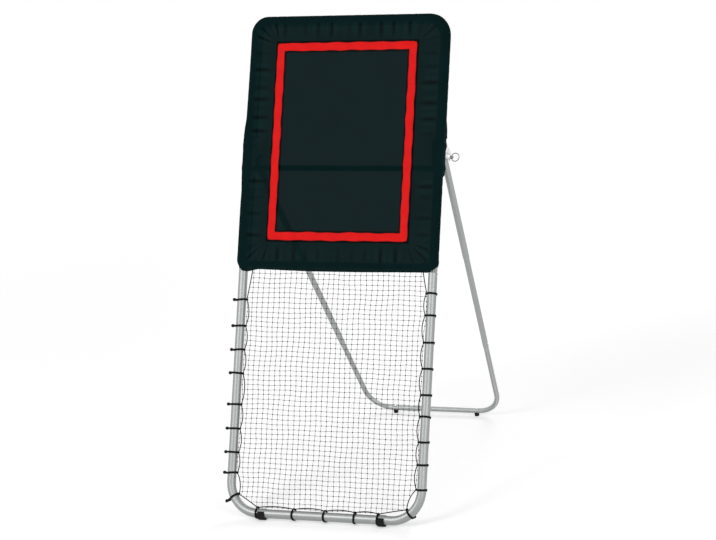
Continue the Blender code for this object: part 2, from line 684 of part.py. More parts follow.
def build_base(steel, zinc, rubber, stand):
    top = MIDDLE_LEG - LEG_LAP
    corners = [leg_point(-1, top), Vector((-BASE_HALF_WIDTH, 0, -LEG_LENGTH)),
               Vector((BASE_HALF_WIDTH, 0, -LEG_LENGTH)), leg_point(1, top)]
    path = rounded(corners, (0, BASE_BEND, BASE_BEND, 0), 4)
    base = piece("base_tube", tube(path, BACKWARD, [BASE_RADIUS] * len(path), LEG_WALL), steel, stand)

    holes = []
    down = MIDDLE_LEG - LEG_BUTTON_ABOVE_SEAM
    for _, side in SIDES:
        outward = Vector((side * math.cos(LEG_SPLAY), 0, -math.sin(LEG_SPLAY)))
        at = leg_point(side, down)
        ends = [at + outward * d for d in (SPRING_WIDTH / 2, BASE_RADIUS + CUT_PAST)]
        holes.append((*ends, BUTTON_DIAMETER / 2 + GAP))
    screw = SCREW_DIAMETER / 2
    ground_up = Vector((0, math.sin(STAND_ANGLE), math.cos(STAND_ANGLE)))
    for _, side in SIDES:
        at = Vector((side * BUMPER_PLACE, 0, -LEG_LENGTH))
        reach = ground_up * (BASE_RADIUS + CUT_PAST)
        holes.append((at - reach, at + reach, screw + GAP))
    combine(base, drill("base_tube_holes", stand, holes))

    # Bumpers and screws stand upright under the bar, so they turn back by the stand's angle
    upright = (-STAND_ANGLE, 0, 0)
    for name, side in SIDES:
        at = Vector((side * BUMPER_PLACE, 0, -LEG_LENGTH))
        low = -BASE_RADIUS - BUMPER_HEIGHT
        high = -BASE_RADIUS + BUMPER_SADDLE
        profile = [(0, low), (BUMPER_RADIUS - BUMPER_CHAMFER, low), (BUMPER_RADIUS, low + BUMPER_CHAMFER),
                   (BUMPER_RADIUS, high), (0, high)]
        bm = bmesh.new()
        revolve(bm, profile, 14)
        bumper = piece(f"base_bumper_{name}", bm, rubber, stand, at, upright)
        reach = ACROSS * (BUMPER_RADIUS + CUT_PAST)
        seat = [(at - reach, at + reach, BASE_RADIUS + GAP)]
        combine(bumper, drill(f"bumper_seat_{name}", stand, seat, 24))
        bottom = at - ground_up * (BASE_RADIUS + SCREW_BITE)
        combine(bumper, drill(f"bumper_hole_{name}", stand, [(bottom, at, screw + GAP)]))

        head = BASE_RADIUS + GAP
        tip = -BASE_RADIUS - SCREW_BITE + 2 * GAP
        top = head + SCREW_HEAD_HEIGHT
        profile = [(0, tip), (screw, tip), (screw, head), (SCREW_HEAD_RADIUS, head),
                   (SCREW_HEAD_RADIUS - SCREW_HEAD_CHAMFER, top), (0, top)]
        bm = bmesh.new()
        revolve(bm, profile, 10)
        piece(f"bumper_screw_{name}", bm, zinc, stand, at, upright)


def build_foot(name, place, rubber, frame):
    """A rubber shoe with ribs along it, clipped round the bottom bar, that stands flat on the ground."""
    top = math.radians(FOOT_LIP_TURN)
    low = math.asin(FOOT_SOLE / FOOT_RADIUS)
    left = []
    for i in range(4 * FOOT_RIBS):
        turn = (low + top) * i / (4 * FOOT_RIBS)
        radius = FOOT_LIP_RADIUS + (FOOT_RADIUS - FOOT_LIP_RADIUS) * min(1.0, turn / top)
        if i % 4 > 1:
            radius -= FOOT_GROOVE
        left.append((radius, math.pi - top + turn))
    right = [(radius, 3 * math.pi - a) for radius, a in reversed(left)]
    flat = math.sqrt(FOOT_RADIUS**2 - FOOT_SOLE**2)
    bore_step = (math.pi + 2 * top) / 12
    inner = (TUBE_RADIUS + GAP) / math.cos(bore_step / 2)
    bore = [(inner, 2 * math.pi + top - bore_step * i) for i in range(13)]

    def turned(points):
        return [(radius * math.cos(a), radius * math.sin(a)) for radius, a in points]

    section = turned(left) + [(-flat, -FOOT_SOLE), (flat, -FOOT_SOLE)] + turned(right + bore)
    half = FOOT_LENGTH / 2
    bm = bmesh.new()
    plate(bm, section, -half, half, lambda a, b, d: (d, a, b))
    piece(f"front_foot_{name}", bm, rubber, frame, frame_point(place, 0), (LEAN, 0, 0), sharp=20)


def box_corners(half_width, low, high):
    return [(-half_width, low), (half_width, low), (half_width, high), (-half_width, high)]


def build_cover(fabric, frame):
    """The target's border: a flat front that wraps round the tubes to a short return behind them."""
    w = HALF_WIDTH
    corners = [frame_point(x, h) for x, h in box_corners(w, RAIL_HEIGHT, HEIGHT)]
    bends = (COVER_BOTTOM_BEND, COVER_BOTTOM_BEND, TOP_BEND, TOP_BEND)
    path = rounded(corners, bends, 4, closed=True)
    edge = TAPE_HALF_WIDTH - COVER_UNDER_TAPE
    low, high = TAPE_BOTTOM + COVER_UNDER_TAPE, TAPE_TOP - COVER_UNDER_TAPE
    opening = [frame_point(x, h) for x, h in box_corners(edge, low, high)]
    inner = rounded(opening, (COVER_UNDER_TAPE,) * 4, 4, closed=True)

    arc = [math.radians(a) for a in range(0, 181, 45)]
    outer_wrap = [(-COVER_OUTSIDE * math.sin(a), -COVER_OUTSIDE * math.cos(a)) for a in arc]
    inner_wrap = [(-COVER_INSIDE * math.sin(a), -COVER_INSIDE * math.cos(a)) for a in reversed(arc)]
    hem = [(COVER_RETURN, COVER_OUTSIDE), (COVER_RETURN, COVER_INSIDE)]
    wrap = outer_wrap + hem + inner_wrap
    bm = bmesh.new()
    rings = []
    for (point, side), rim in zip(frames(path, BACKWARD, True), inner):
        outward = -side if side.dot(point - frame_point(0, (RAIL_HEIGHT + HEIGHT) / 2)) < 0 else side
        ring = [bm.verts.new(point - outward * across + BACKWARD * behind) for across, behind in wrap]
        ring.append(bm.verts.new(rim - BACKWARD * COVER_INSIDE))
        ring.append(bm.verts.new(rim - BACKWARD * COVER_OUTSIDE))
        rings.append(ring)
    for a, b in zip(rings, rings[1:] + rings[:1]):
        bridge(bm, a, b)
    cover = piece("target_cover", bm, fabric, frame)

    # The side tubes leave through the rounded lower corners
    exits = []
    for _, side in SIDES:
        low = frame_point(side * w, RAIL_HEIGHT - COVER_OUTSIDE - CUT_PAST)
        high = frame_point(side * w, RAIL_HEIGHT + COVER_BOTTOM_BEND + COVER_OUTSIDE + CUT_PAST)
        exits.append((low, high, TUBE_RADIUS + GAP))
    combine(cover, drill("cover_exits", frame, exits, 20))

    # Along the rail the cover ends under its front edge, and the net hangs out behind it
    bm = bmesh.new()
    wide = w - TUBE_RADIUS / 2
    low, high = RAIL_HEIGHT - COVER_OUTSIDE - CUT_PAST, RAIL_HEIGHT + COVER_OUTSIDE + CUT_PAST
    behind = COVER_OUTSIDE + CUT_PAST
    outline = [(COVER_OPEN_BEHIND, low), (behind, low), (behind, high), (COVER_OPEN_BEHIND, high)]
    plate(bm, outline, -wide, wide, lambda a, b, d: (d, a, b))
    combine(cover, piece("cover_open_back", bm, None, frame))

    # A slot at each bracket lets the cheeks and the leg through
    for name, side in SIDES:
        bm = bmesh.new()
        inside = side * (w - CHEEK_OUTSIDE - COVER_SLOT_INBOARD)
        outside = side * (w + COVER_OUTSIDE + CUT_PAST)
        low, high = BRACKET_BOTTOM - COVER_SLOT_MARGIN, BRACKET_TOP + COVER_SLOT_MARGIN
        slot = [(-COVER_INSIDE, low), (behind, low), (behind, high), (-COVER_INSIDE, high)]
        plate(bm, slot, inside, outside, lambda a, b, d: (d, a, b))
        combine(cover, piece(f"cover_slot_{name}", bm, None, frame))


def flat_sheet(name, outline, front, back, finish, frame):
    bm = bmesh.new()
    plate(bm, [(p.x, p.z) for p in outline], front, back, lambda a, b, d: (a, d, b))
    return piece(name, bm, finish, frame)


def build_target(fabric, red, frame):
    inset = COVER_UNDER_TAPE + GAP
    w = TAPE_HALF_WIDTH - inset
    low, high = TAPE_BOTTOM + inset, TAPE_TOP - inset
    corners = [frame_point(x, h) for x, h in box_corners(w, low, high)]
    outline = rounded(corners, (COVER_UNDER_TAPE - GAP,) * 4, 4, closed=True)
    flat_sheet("target_sheet", outline, -COVER_OUTSIDE, -COVER_INSIDE, fabric, frame)

    back = -COVER_OUTSIDE - GAP
    front = back - TAPE_THICK
    rings = []
    bm = bmesh.new()
    for inset in (0, TAPE_WIDTH):
        corners = box_corners(TAPE_HALF_WIDTH - inset, TAPE_BOTTOM + inset, TAPE_TOP - inset)
        for depth in (front, back):
            rings.append([bm.verts.new((x, depth, z)) for x, z in corners])
    outer_front, outer_back, inner_front, inner_back = rings
    loop = [outer_front, outer_back, inner_back, inner_front, outer_front]
    for a, b in zip(loop, loop[1:]):
        bridge(bm, a, b)
    piece("target_tape", bm, red, frame)


def tie_anchors():
    """Every tie on the net's edge, side by side, anticlockwise from the lower left.

    Each is (side of the net, point on the tube's line, direction into the net, tube radius, bead's turn).
    """
    w = HALF_WIDTH
    centre = w - BOTTOM_BEND
    anchors = []

    def corner(side, angle, turn):
        out = Vector((math.cos(angle), 0, math.sin(angle)))
        at = Vector((math.copysign(centre, out.x), 0, BOTTOM_BEND)) + out * BOTTOM_BEND
        anchors.append((side, at, -out, TUBE_RADIUS, turn))

    def up_side(share):
        return BOTTOM_BEND + share * (JOINT_HEIGHT - BOTTOM_BEND)

    corner("left", LEFT_CORNER_TIE, LEFT_BEAD_TURN)
    for x in BOTTOM_TIES:
        anchors.append(("bottom", frame_point(x, 0), UPWARD, TUBE_RADIUS, BOTTOM_BEAD_TURN))
    corner("right", RIGHT_CORNER_TIE, RIGHT_BEAD_TURN)
    for share in RIGHT_TIES:
        anchors.append(("right", frame_point(w, up_side(share)), -ACROSS, TUBE_RADIUS, RIGHT_BEAD_TURN))
    for i in range(RAIL_TIES):
        x = (w - RAIL_TIE_INSET) * (1 - 2 * i / (RAIL_TIES - 1))
        anchors.append(("top", frame_point(x, RAIL_HEIGHT), -UPWARD, CROSS_RADIUS, RAIL_BEAD_TURN))
    for share in reversed(LEFT_TIES):
        anchors.append(("left", frame_point(-w, up_side(share)), ACROSS, TUBE_RADIUS, LEFT_BEAD_TURN))
    return anchors


def rope_line(anchors):
    """The border rope's closed line: out at each tie, bowed into the net between them."""
    line = []
    count = len(anchors)
    seat = TIE_RADIUS + ROPE_RADIUS - ROPE_BITE
    for i, (side, at, inward, radius, _) in enumerate(anchors):
        next_side, next_at, next_inward, next_radius, _ = anchors[(i + 1) % count]
        held = at + inward * (radius + seat)
        next_held = next_at + next_inward * (next_radius + seat)
        line.append((side, held))
        middle = (held + next_held) / 2
        if side == next_side:
            line.append((side, middle + (inward + next_inward).normalized() * ROPE_BOW))
        else:
            line.append((None, middle))
    return line


def bead_direction(inward, turn):
    """From the tube's line towards the bead: away from the net, turned towards the back."""
    angle = math.radians(turn)
    return -inward * math.cos(angle) + BACKWARD * math.sin(angle)


def tie_loop(bm, at, inward, radius, turn):
    """An elastic loop round a tube, drawn out to its bead, which is turned towards the back."""
    along = inward.cross(BACKWARD)
    out = bead_direction(inward, turn)
    steps = 8
    path = []
    for i in range(steps):
        a = 2 * math.pi * (i + 0.5) / steps
        around = inward * math.cos(a) + BACKWARD * math.sin(a)
        reach = radius + GAP + TIE_RADIUS + TIE_REACH * max(0.0, around.dot(out)) ** TIE_DRAWN_OUT
        path.append(at + around * reach / math.cos(math.pi / steps))
    rod(bm, path, along, TIE_RADIUS, 4, closed=True)


def tie_bead(bm, at, inward, radius, turn):
    centre = at + bead_direction(inward, turn) * (radius - TUBE_RADIUS + BEAD_PLACE)
    bmesh.ops.create_icosphere(bm, subdivisions=1, radius=BEAD_RADIUS, matrix=Matrix.Translation(centre))


def build_lacing(rope, frame):
    """The net's border rope in four runs, each with the elastic ties that hold it to the tube beside it."""
    anchors = tie_anchors()
    line = rope_line(anchors)
    count = len(line)
    splits = [i for i, (side, _) in enumerate(line) if side is None]
    for first, last in zip(splits, splits[1:] + [splits[0] + count]):
        run = [line[i % count] for i in range(first, last + 1)]
        name = run[1][0]
        path = [point for _, point in run]
        path[0] = path[0] + (path[1] - path[0]).normalized() * GAP / 2
        path[-1] = path[-1] + (path[-2] - path[-1]).normalized() * GAP / 2
        bm = bmesh.new()
        rod(bm, path, BACKWARD, ROPE_RADIUS, 4)
        lacing = piece(f"net_lacing_{name}", bm, rope, frame)
        loops = bmesh.new()
        beads = bmesh.new()
        for side, at, inward, radius, turn in anchors:
            if side == name:
                tie_loop(loops, at, inward, radius, turn)
                tie_bead(beads, at, inward, radius, turn)
        combine(lacing, piece(f"tie_loops_{name}", loops, None, frame), "UNION")
        combine(lacing, piece(f"tie_beads_{name}", beads, None, frame), "UNION")
    return [point for _, point in line]


def build_net(twine, line, frame):
    """The net as one thin sheet inside its border rope, cut into an even grid of openings."""
    middle = frame_point(0, RAIL_HEIGHT / 2)

    def inside(inset):
        outline = []
        for point, side in frames(line, BACKWARD, True):
            inward = side if side.dot(middle - point) > 0 else -side
            outline.append(point + inward * inset)
        return outline

    edge = inside(ROPE_RADIUS + GAP)
    net = flat_sheet("net_panel", edge, -NET_THICK / 2, NET_THICK / 2, twine, frame)
    left, right = min(p.x for p in edge), max(p.x for p in edge)
    low, high = min(p.z for p in edge), max(p.z for p in edge)
    across = (right - left) / NET_OPENINGS_ACROSS
    up = (high - low) / NET_OPENINGS_UP
    deep = NET_THICK / 2 + CUT_PAST
    bm = bmesh.new()
    for i in range(NET_OPENINGS_ACROSS):
        for j in range(NET_OPENINGS_UP):
            a, b = left + i * across + NET_BAND / 2, left + (i + 1) * across - NET_BAND / 2
            c, d = low + j * up + NET_BAND / 2, low + (j + 1) * up - NET_BAND / 2
            plate(bm, [(a, c), (b, c), (b, d), (a, d)], -deep, deep, lambda x, z, y: (x, y, z))
    openings = piece("net_openings", bm, None, frame)
    within = flat_sheet("net_within_band", inside(ROPE_RADIUS + GAP + NET_BAND), -deep, deep, None, frame)
    combine(openings, within, "INTERSECT")
    combine(net, openings)


def build():
    for old in list(bpy.data.objects):
        bpy.data.objects.remove(old, do_unlink=True)

    tube_steel = material("galvanised_tube", (0.46, 0.48, 0.47), 0.38, 1.0)
    zinc = material("zinc_plate", (0.62, 0.63, 0.62), 0.32, 1.0)
    pin_steel = material("pin_steel", (0.12, 0.12, 0.12), 0.40, 1.0)
    fabric = material("black_fabric", (0.012, 0.02, 0.022), 0.80)
    red = material("red_tape", (0.80, 0.02, 0.02), 0.60)
    cord = material("black_cord", (0.012, 0.012, 0.012), 0.75)
    rubber = material("black_rubber", (0.010, 0.010, 0.010), 0.70)

    frame = empty("front_frame", None, (0, BAR_Y, BAR_HEIGHT), (-LEAN, 0, 0))
    stand = empty("stand_pivot", None, (0, BAR_Y + PIVOT_Y, PIVOT_Z), (STAND_ANGLE, 0, 0))

    build_frame_tubes(tube_steel, frame)
    build_cross_tubes(tube_steel, frame)
    build_foot("left", LEFT_FOOT, rubber, frame)
    build_foot("right", RIGHT_FOOT, rubber, frame)
    for name, side in SIDES:
        build_bracket(name, side, zinc, frame)
        build_bracket_bolts(name, side, zinc, frame)
        build_lock_pin(name, side, pin_steel, frame)
        at = frame_point(side * HALF_WIDTH, FRAME_BUTTON_HEIGHT)
        snap_button(f"frame_{name}", zinc, frame, at, side, PLUG_RADIUS - TUBE_WALL, TUBE_RADIUS)
        line = empty(f"leg_line_{name}", stand, (side * LEG_PLACE, 0, 0), (0, side * LEG_SPLAY, 0))
        build_leg(name, side, tube_steel, rubber, zinc, stand, line)
    build_base(tube_steel, zinc, rubber, stand)
    build_cover(fabric, frame)
    build_target(fabric, red, frame)
    line = build_lacing(cord, frame)
    build_net(cord, line, frame)


build()
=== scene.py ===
"""Rebound net: the finish of the leaning tube frame, its fabric target, its laced net and the folding stand.

Metres, in the frame's own axes: +Z up, the target faces -Y. A place on the leaning front frame is given as
x across, height up the frame from the bottom bar's line, and behind, square to the frame towards the back.
A place on the stand is given as x across and down, along the stand from its pivot.
"""

import json
import random
from math import atan2, copysign, cos, exp, hypot, pi, radians, sin, sqrt, tan, tau

import bpy
from mathutils import Matrix, Vector
from mathutils.noise import noise


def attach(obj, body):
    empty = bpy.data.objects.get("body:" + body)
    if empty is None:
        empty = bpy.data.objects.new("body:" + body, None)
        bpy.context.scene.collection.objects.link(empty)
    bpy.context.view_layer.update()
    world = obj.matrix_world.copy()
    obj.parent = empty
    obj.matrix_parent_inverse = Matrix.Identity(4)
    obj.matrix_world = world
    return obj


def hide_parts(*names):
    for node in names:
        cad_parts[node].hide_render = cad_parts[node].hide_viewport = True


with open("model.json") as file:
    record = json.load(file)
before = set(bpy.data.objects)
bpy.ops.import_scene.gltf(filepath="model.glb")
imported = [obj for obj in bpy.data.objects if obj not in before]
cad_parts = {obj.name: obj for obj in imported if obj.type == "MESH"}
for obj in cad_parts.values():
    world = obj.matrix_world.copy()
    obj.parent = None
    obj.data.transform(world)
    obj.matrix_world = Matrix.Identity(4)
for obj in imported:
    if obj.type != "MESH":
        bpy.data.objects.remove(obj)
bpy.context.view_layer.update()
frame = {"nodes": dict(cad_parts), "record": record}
joints = {joint["name"]: joint for joint in frame["record"]["behaviour"]["joints"]}
mounts = {mount["name"]: mount for mount in frame["record"]["mounts"]}

# Front frame
FRAME_WIDTH = 0.914
FRAME_HEIGHT = 2.134
TUBE_RADIUS = 0.01905
TUBE_WALL = 0.0012
TOP_BEND = 0.09
BOTTOM_BEND = 0.13
LEAN = radians(24.0)
BAR_HEIGHT = 0.0265
JOINT_HEIGHT = 1.030
PLUG_LENGTH = 0.055
SWAGE_LENGTH = 0.004
SEAM_GAP = 0.0003
RAIL_HEIGHT = 1.0547
RAIL_HALF_LENGTH = 0.4236
CROSSBAR_HEIGHT = 1.465
CROSSBAR_HALF_LENGTH = 0.4153
CROSS_RADIUS = 0.0127
FRAME_BUTTON_HEIGHT = 1.012
BRACKET_LOW = 1.445
BRACKET_HIGH = 1.585
BRACKET_BOLT_HEIGHT = 1.560
BUTTON_HOLE = 0.0045

# Stand
STAND_REACH = 0.5932
LEG_RADIUS = 0.0143
MIDDLE_RADIUS = 0.0127
BASE_RADIUS = 0.0111
LEG_TOP = 0.014
LEG_PLACE = 0.44045
UPPER_LEG = 0.565
MIDDLE_LEG = 1.095
LEG_LAP = 0.065
LEG_BUTTON_ABOVE_SEAM = 0.020
BASE_BAR_HEIGHT = 0.0241
BASE_HALF_WIDTH = 0.314
BASE_BEND = 0.115

# Pull pin's ring
PIN_HEAD_RADIUS = 0.007
RING_RADIUS = 0.017
RING_WIRE = 0.0019
RING_UNEVEN = 0.035

# Target
COVER_RADIUS = 0.0212
COVER_LAP = 0.010
COVER_BOTTOM_BEND = 0.022
COVER_RIGHT_BEND = 0.078
COVER_LEFT_BEND = 0.055
COVER_RETURN = 0.020
COVER_LIP_END = 78
COVER_HEM = 0.009
COVER_TURNED_EDGE = 0.003
COVER_SPACING = 0.0033
COVER_STEPS = 24
CLOTH_THICK = 0.0011
BRACKET_COVER = 0.0249
BRACKET_SQUARE = 10
BRACKET_BLEND = 0.120
BRACKET_SHARP_BLEND = 0.018
SLOT_MARGIN = 0.011
SLOT_EDGE_TURN = 112
CLEAR_OF_TUBE = 0.0203
LEAST_REACH = 0.0202
OVER_BOLT = 0.0050
OVER_BOLT_SPREAD = 0.014
LEFT_SLACK = 0.011
SHEET_STEP = 0.006
TAPE_INSET = 0.113
TAPE_ABOVE_RAIL = 0.0993
TAPE_BELOW_TOP = 0.0959
TAPE_WIDTH = 0.038
TAPE_THICK = 0.0011
TAPE_DARK_EDGE = 0.0022
TAPE_STEP = 0.005
TAPE_CORNER_PULL = 0.0035
TAPE_CORNER_SPREAD = 0.009

# Creases
PUCKER_PITCH = 0.0975
CREASES_ACROSS = 11
CREASES_UP = 14
CREASE_PITCH = 0.070
CREASE_SHIFT = 0.014
CORNER_CREASE = 0.7
CREASE_DEPTH = 0.0034
CREASE_WIDTH = 0.0074

# Net, its border rope and its ties
NET_PITCH_ACROSS = 0.0250
NET_PITCH_UP = 0.0206
TWINE_RADIUS = 0.0007
KNOT_RADIUS = 0.0029
KNOT_TO_ROPE = 0.35
ROPE_RADIUS = 0.0022
ROPE_BOWS = {"left": 0.013, "right": 0.013, "bottom": 0.008, "top": 0.002}
CORNER_BOW = 0.001
FULL_BOW_SPAN = 0.11
TIE_RADIUS = 0.0022
BEAD_RADIUS = 0.0073
LEFT_TIES = (0.039, 0.136, 0.247, 0.361, 0.509, 0.619, 0.732, 0.856)
RIGHT_TIES = (0.003, 0.117, 0.221, 0.336, 0.437, 0.557, 0.678, 0.803, 0.904)
MIDDLE_TIES = (-0.518, 0.027, 0.534)
FOOT_TO_LEFT_TIE = 0.0245
FOOT_TO_RIGHT_TIE = 0.0185
LEFT_CORNER_TIE = radians(210)
RIGHT_CORNER_TIE = radians(310)
RAIL_TIES = 5
RAIL_TIE_INSET = 0.045

# How far each side's beads sit from their tube's line, and how far round to the back, in degrees
BEAD_PLACES = {"left": 0.0355, "right": 0.0325, "bottom": 0.0285, "top": 0.0245}
LEFT_CORNER_BEAD_PLACE = 0.0400
BEAD_TURNS = {"left": 0, "right": 84, "bottom": 75, "top": 60}
RIGHT_CORNER_BEAD_TURN = 70

# Camera, fitted to the photograph
IMAGE_WIDTH = 716
SENSOR_WIDTH = 36.0
FOCAL_PIXELS = 2970.6
CAMERA_YAW = radians(25.622)
CAMERA_PITCH = radians(17.366)
CAMERA_ROLL = radians(-7.101)
CAMERA_FROM_BAR = Vector((5.2287, -10.2792, 4.6847))

# Light
WORLD_LIGHT = 0.50
KEY_WATTS = 205
FILL_WATTS = 90
BACK_WATTS = 125

# Worked out from the frame
HALF_WIDTH = FRAME_WIDTH / 2 - TUBE_RADIUS
HEIGHT = FRAME_HEIGHT - 2 * TUBE_RADIUS
TAPE_HALF_WIDTH = HALF_WIDTH - TAPE_INSET
TAPE_BOTTOM = RAIL_HEIGHT + TAPE_ABOVE_RAIL
TAPE_TOP = HEIGHT - TAPE_BELOW_TOP
SHEET_HALF_WIDTH = TAPE_HALF_WIDTH - COVER_LAP
SHEET_BOTTOM = TAPE_BOTTOM + COVER_LAP
SHEET_TOP = TAPE_TOP - COVER_LAP
LEFT_FOOT, BAR_Y, _ = mounts["front_foot_left_sole"]["pos_m"]
RIGHT_FOOT = mounts["front_foot_right_sole"]["pos_m"][0]
PIVOT = Vector(joints["stand_fold"]["pos_m"])
STAND_ANGLE = atan2(STAND_REACH, PIVOT.z - BASE_BAR_HEIGHT)
LEG_LENGTH = hypot(STAND_REACH, PIVOT.z - BASE_BAR_HEIGHT)
LEG_SPLAY = atan2(LEG_PLACE - BASE_HALF_WIDTH, LEG_LENGTH)

SIDES = (("left", -1), ("right", 1))
ACROSS = Vector((1, 0, 0))
UP_FRAME = Vector((0, sin(LEAN), cos(LEAN)))
BEHIND = Vector((0, cos(LEAN), -sin(LEAN)))
DOWN_STAND = Vector((0, sin(STAND_ANGLE), -cos(STAND_ANGLE)))
STAND_BEHIND = Vector((0, cos(STAND_ANGLE), sin(STAND_ANGLE)))


def spot(x, height, behind=0.0):
    """A point on the front frame."""
    return Vector((x, BAR_Y, BAR_HEIGHT)) + UP_FRAME * height + BEHIND * behind


def stand_spot(x, down, behind=0.0):
    """A point on the stand."""
    return Vector((x, PIVOT.y, PIVOT.z)) + DOWN_STAND * down + STAND_BEHIND * behind


# Shader maths


def sums(operation, swap=False):
    """An operator on values that adds its Math node."""
    def operator(self, other):
        return self.maths(operation, other, swap=swap)

    return operator


class Value:
    """A node's output, which takes part in sums where it is a number."""

    __add__, __radd__ = sums("ADD"), sums("ADD", True)
    __sub__, __rsub__ = sums("SUBTRACT"), sums("SUBTRACT", True)
    __mul__, __rmul__ = sums("MULTIPLY"), sums("MULTIPLY", True)

    def __init__(self, tree, socket):
        self.tree = tree
        self.socket = socket

    def maths(self, operation, other=0.0, swap=False):
        ends = (other, self) if swap else (self, other)
        return self.tree.node("Math", {"operation": operation}, *ends)

    def above(self, edge, soft):
        """0 below the edge, 1 above it, with a soft step between."""
        step = {"interpolation_type": "SMOOTHSTEP"}
        return self.tree.node("MapRange", step, self, edge - soft, edge + soft)

    def wave(self, pitch):
        """A sine of the value, from 0 to 1, that repeats with the pitch."""
        return (self * (tau / pitch)).maths("SINE") * 0.5 + 0.5


class Tree:
    """The nodes of a material or a world."""

    def __init__(self, owner):
        owner.use_nodes = True
        self.nodes = owner.node_tree.nodes
        self.links = owner.node_tree.links

    def plug(self, socket, value):
        if isinstance(value, Value):
            self.links.new(value.socket, socket)
        else:
            socket.default_value = value

    def node(self, kind, settings, *values, output=None, **named):
        """Make a node, set it up, then fill its sockets in order and by name. Return one output."""
        made = self.nodes.new("ShaderNode" + kind)
        for setting, value in settings.items():
            if setting == "stops":
                set_stops(made.color_ramp.elements, value)
            else:
                setattr(made, setting, value)
        for socket, value in zip(made.inputs, values):
            self.plug(socket, value)
        for name, value in named.items():
            self.plug(find_socket(made.inputs, name), value)
        return Value(self, find_socket(made.outputs, output) if output else made.outputs[0])


def find_socket(sockets, name):
    """A socket by its identifier, or by its name with spaces or underscores."""
    return next(s for s in sockets if name == s.identifier or name.replace("_", " ") == s.name)


def set_stops(elements, stops):
    """A colour at each of a ramp's positions."""
    while len(elements) < len(stops):
        elements.new(0.5)
    for element, (position, color) in zip(elements, stops):
        element.position = position
        element.color = (*color, 1.0)


class Finish(Tree):
    """A material of one Principled shader, and the nodes that feed it."""

    def __init__(self, name, color, roughness, metallic=0.0, **constants):
        self.material = bpy.data.materials.new(name)
        super().__init__(self.material)
        self.shader = self.nodes["Principled BSDF"]
        self.set("Base Color", (*color, 1.0))
        self.set("Roughness", roughness)
        self.set("Metallic", metallic)
        for socket, value in constants.items():
            self.set(socket.replace("_", " "), value)

    def set(self, socket, value):
        self.plug(self.shader.inputs[socket], value)

    def surface(self, color, roughness, height, strength, distance):
        """What varies over the surface: its colour, roughness and bumps. Return the material."""
        self.set("Base Color", color)
        self.set("Roughness", roughness)
        self.set("Normal", self.node("Bump", {}, Strength=strength, Distance=distance, Height=height))
        return self.material

    def carried(self, name, output="Vector"):
        """What the mesh carries for its finish."""
        return self.node("Attribute", {"attribute_name": name}, output=output)

    def position(self):
        return self.node("NewGeometry", {}, output="Position")

    def part(self, vector, axis):
        return self.node("SeparateXYZ", {}, vector, output=axis)

    def noise(self, vector, scale, detail=3.0, roughness=0.5):
        return self.node("TexNoise", {}, Vector=vector, Scale=scale, Detail=detail, Roughness=roughness)

    def grain(self, vector, scales, detail=2.0):
        """Noise with a scale for each axis."""
        return self.noise(self.node("VectorMath", {"operation": "MULTIPLY"}, vector, scales), 1.0, detail)

    def ramp(self, value, *stops):
        """A colour for each position along a value."""
        return self.node("ValToRGB", {"stops": stops}, value)

    def mix(self, share, first, second):
        """The first colour where the share is 0, the second where it is 1."""
        first, second = (end if isinstance(end, Value) else (*end, 1.0) for end in (first, second))
        kind = {"data_type": "RGBA"}
        return self.node("Mix", kind, share, output="Result_Color", A_Color=first, B_Color=second)


def grey(level):
    return level, level, level


def galvanised(name, shade, reflection_strength, contrast):
    """Zinc-coated steel tube: painted reflection bands by the angle round the tube, a faint spangle and dull
    patches.
    """
    finish = Finish(name, grey(shade), 0.4, 1.0)
    place = finish.carried("tube")
    # Painted reflection: light and dark bands set by the angle round the tube, standing in for the lamps'
    # reflections.
    painted_reflection_band = finish.grain(place, (2.6, 2.6, 0.05))
    draw_line = finish.grain(place, (14.0, 14.0, 0.6))
    spangle = finish.grain(place, (60 * TUBE_RADIUS, 60 * TUBE_RADIUS, 60.0))
    patch = finish.grain(place, (1.2, 1.2, 7.0), 3.0)
    level = painted_reflection_band * reflection_strength + draw_line * 0.22 + spangle * 0.10 + patch * 0.16
    # The ramp's dark and bright ends give the painted shade and painted highlight of the reflection bands,
    # with the grain and patches mixed in.
    low = shade * 0.42
    high = min(shade * 1.9, 0.9)
    middle = (reflection_strength + 0.48) / 2
    color = finish.ramp(
        (level - middle) * contrast + 0.5,
        (0.15, (low * 0.96, low * 1.02, low)),
        (0.50, (shade * 0.97, shade * 1.01, shade)),
        (0.85, (high * 0.97, high, high * 0.985)),
    )
    roughness = 0.30 + patch * 0.22 + draw_line * 0.10
    return finish.surface(color, roughness, draw_line + spangle * 0.4, 0.12, 0.0004)


def zinc_plate(name, color, roughness):
    """Bright zinc with a faint brushed grain and duller patches."""
    finish = Finish(name, color, roughness, 1.0)
    place = finish.position()
    grain = finish.grain(place, (900.0, 160.0, 160.0))
    patch = finish.noise(place, 70.0)
    dark = tuple(c * 0.72 for c in color)
    light = tuple(min(1.0, c * 1.12) for c in color)
    dulled = finish.ramp(patch, (0.3, dark), (0.7, light))
    return finish.surface(dulled, roughness - 0.06 + patch * 0.16, grain, 0.10, 0.0002)


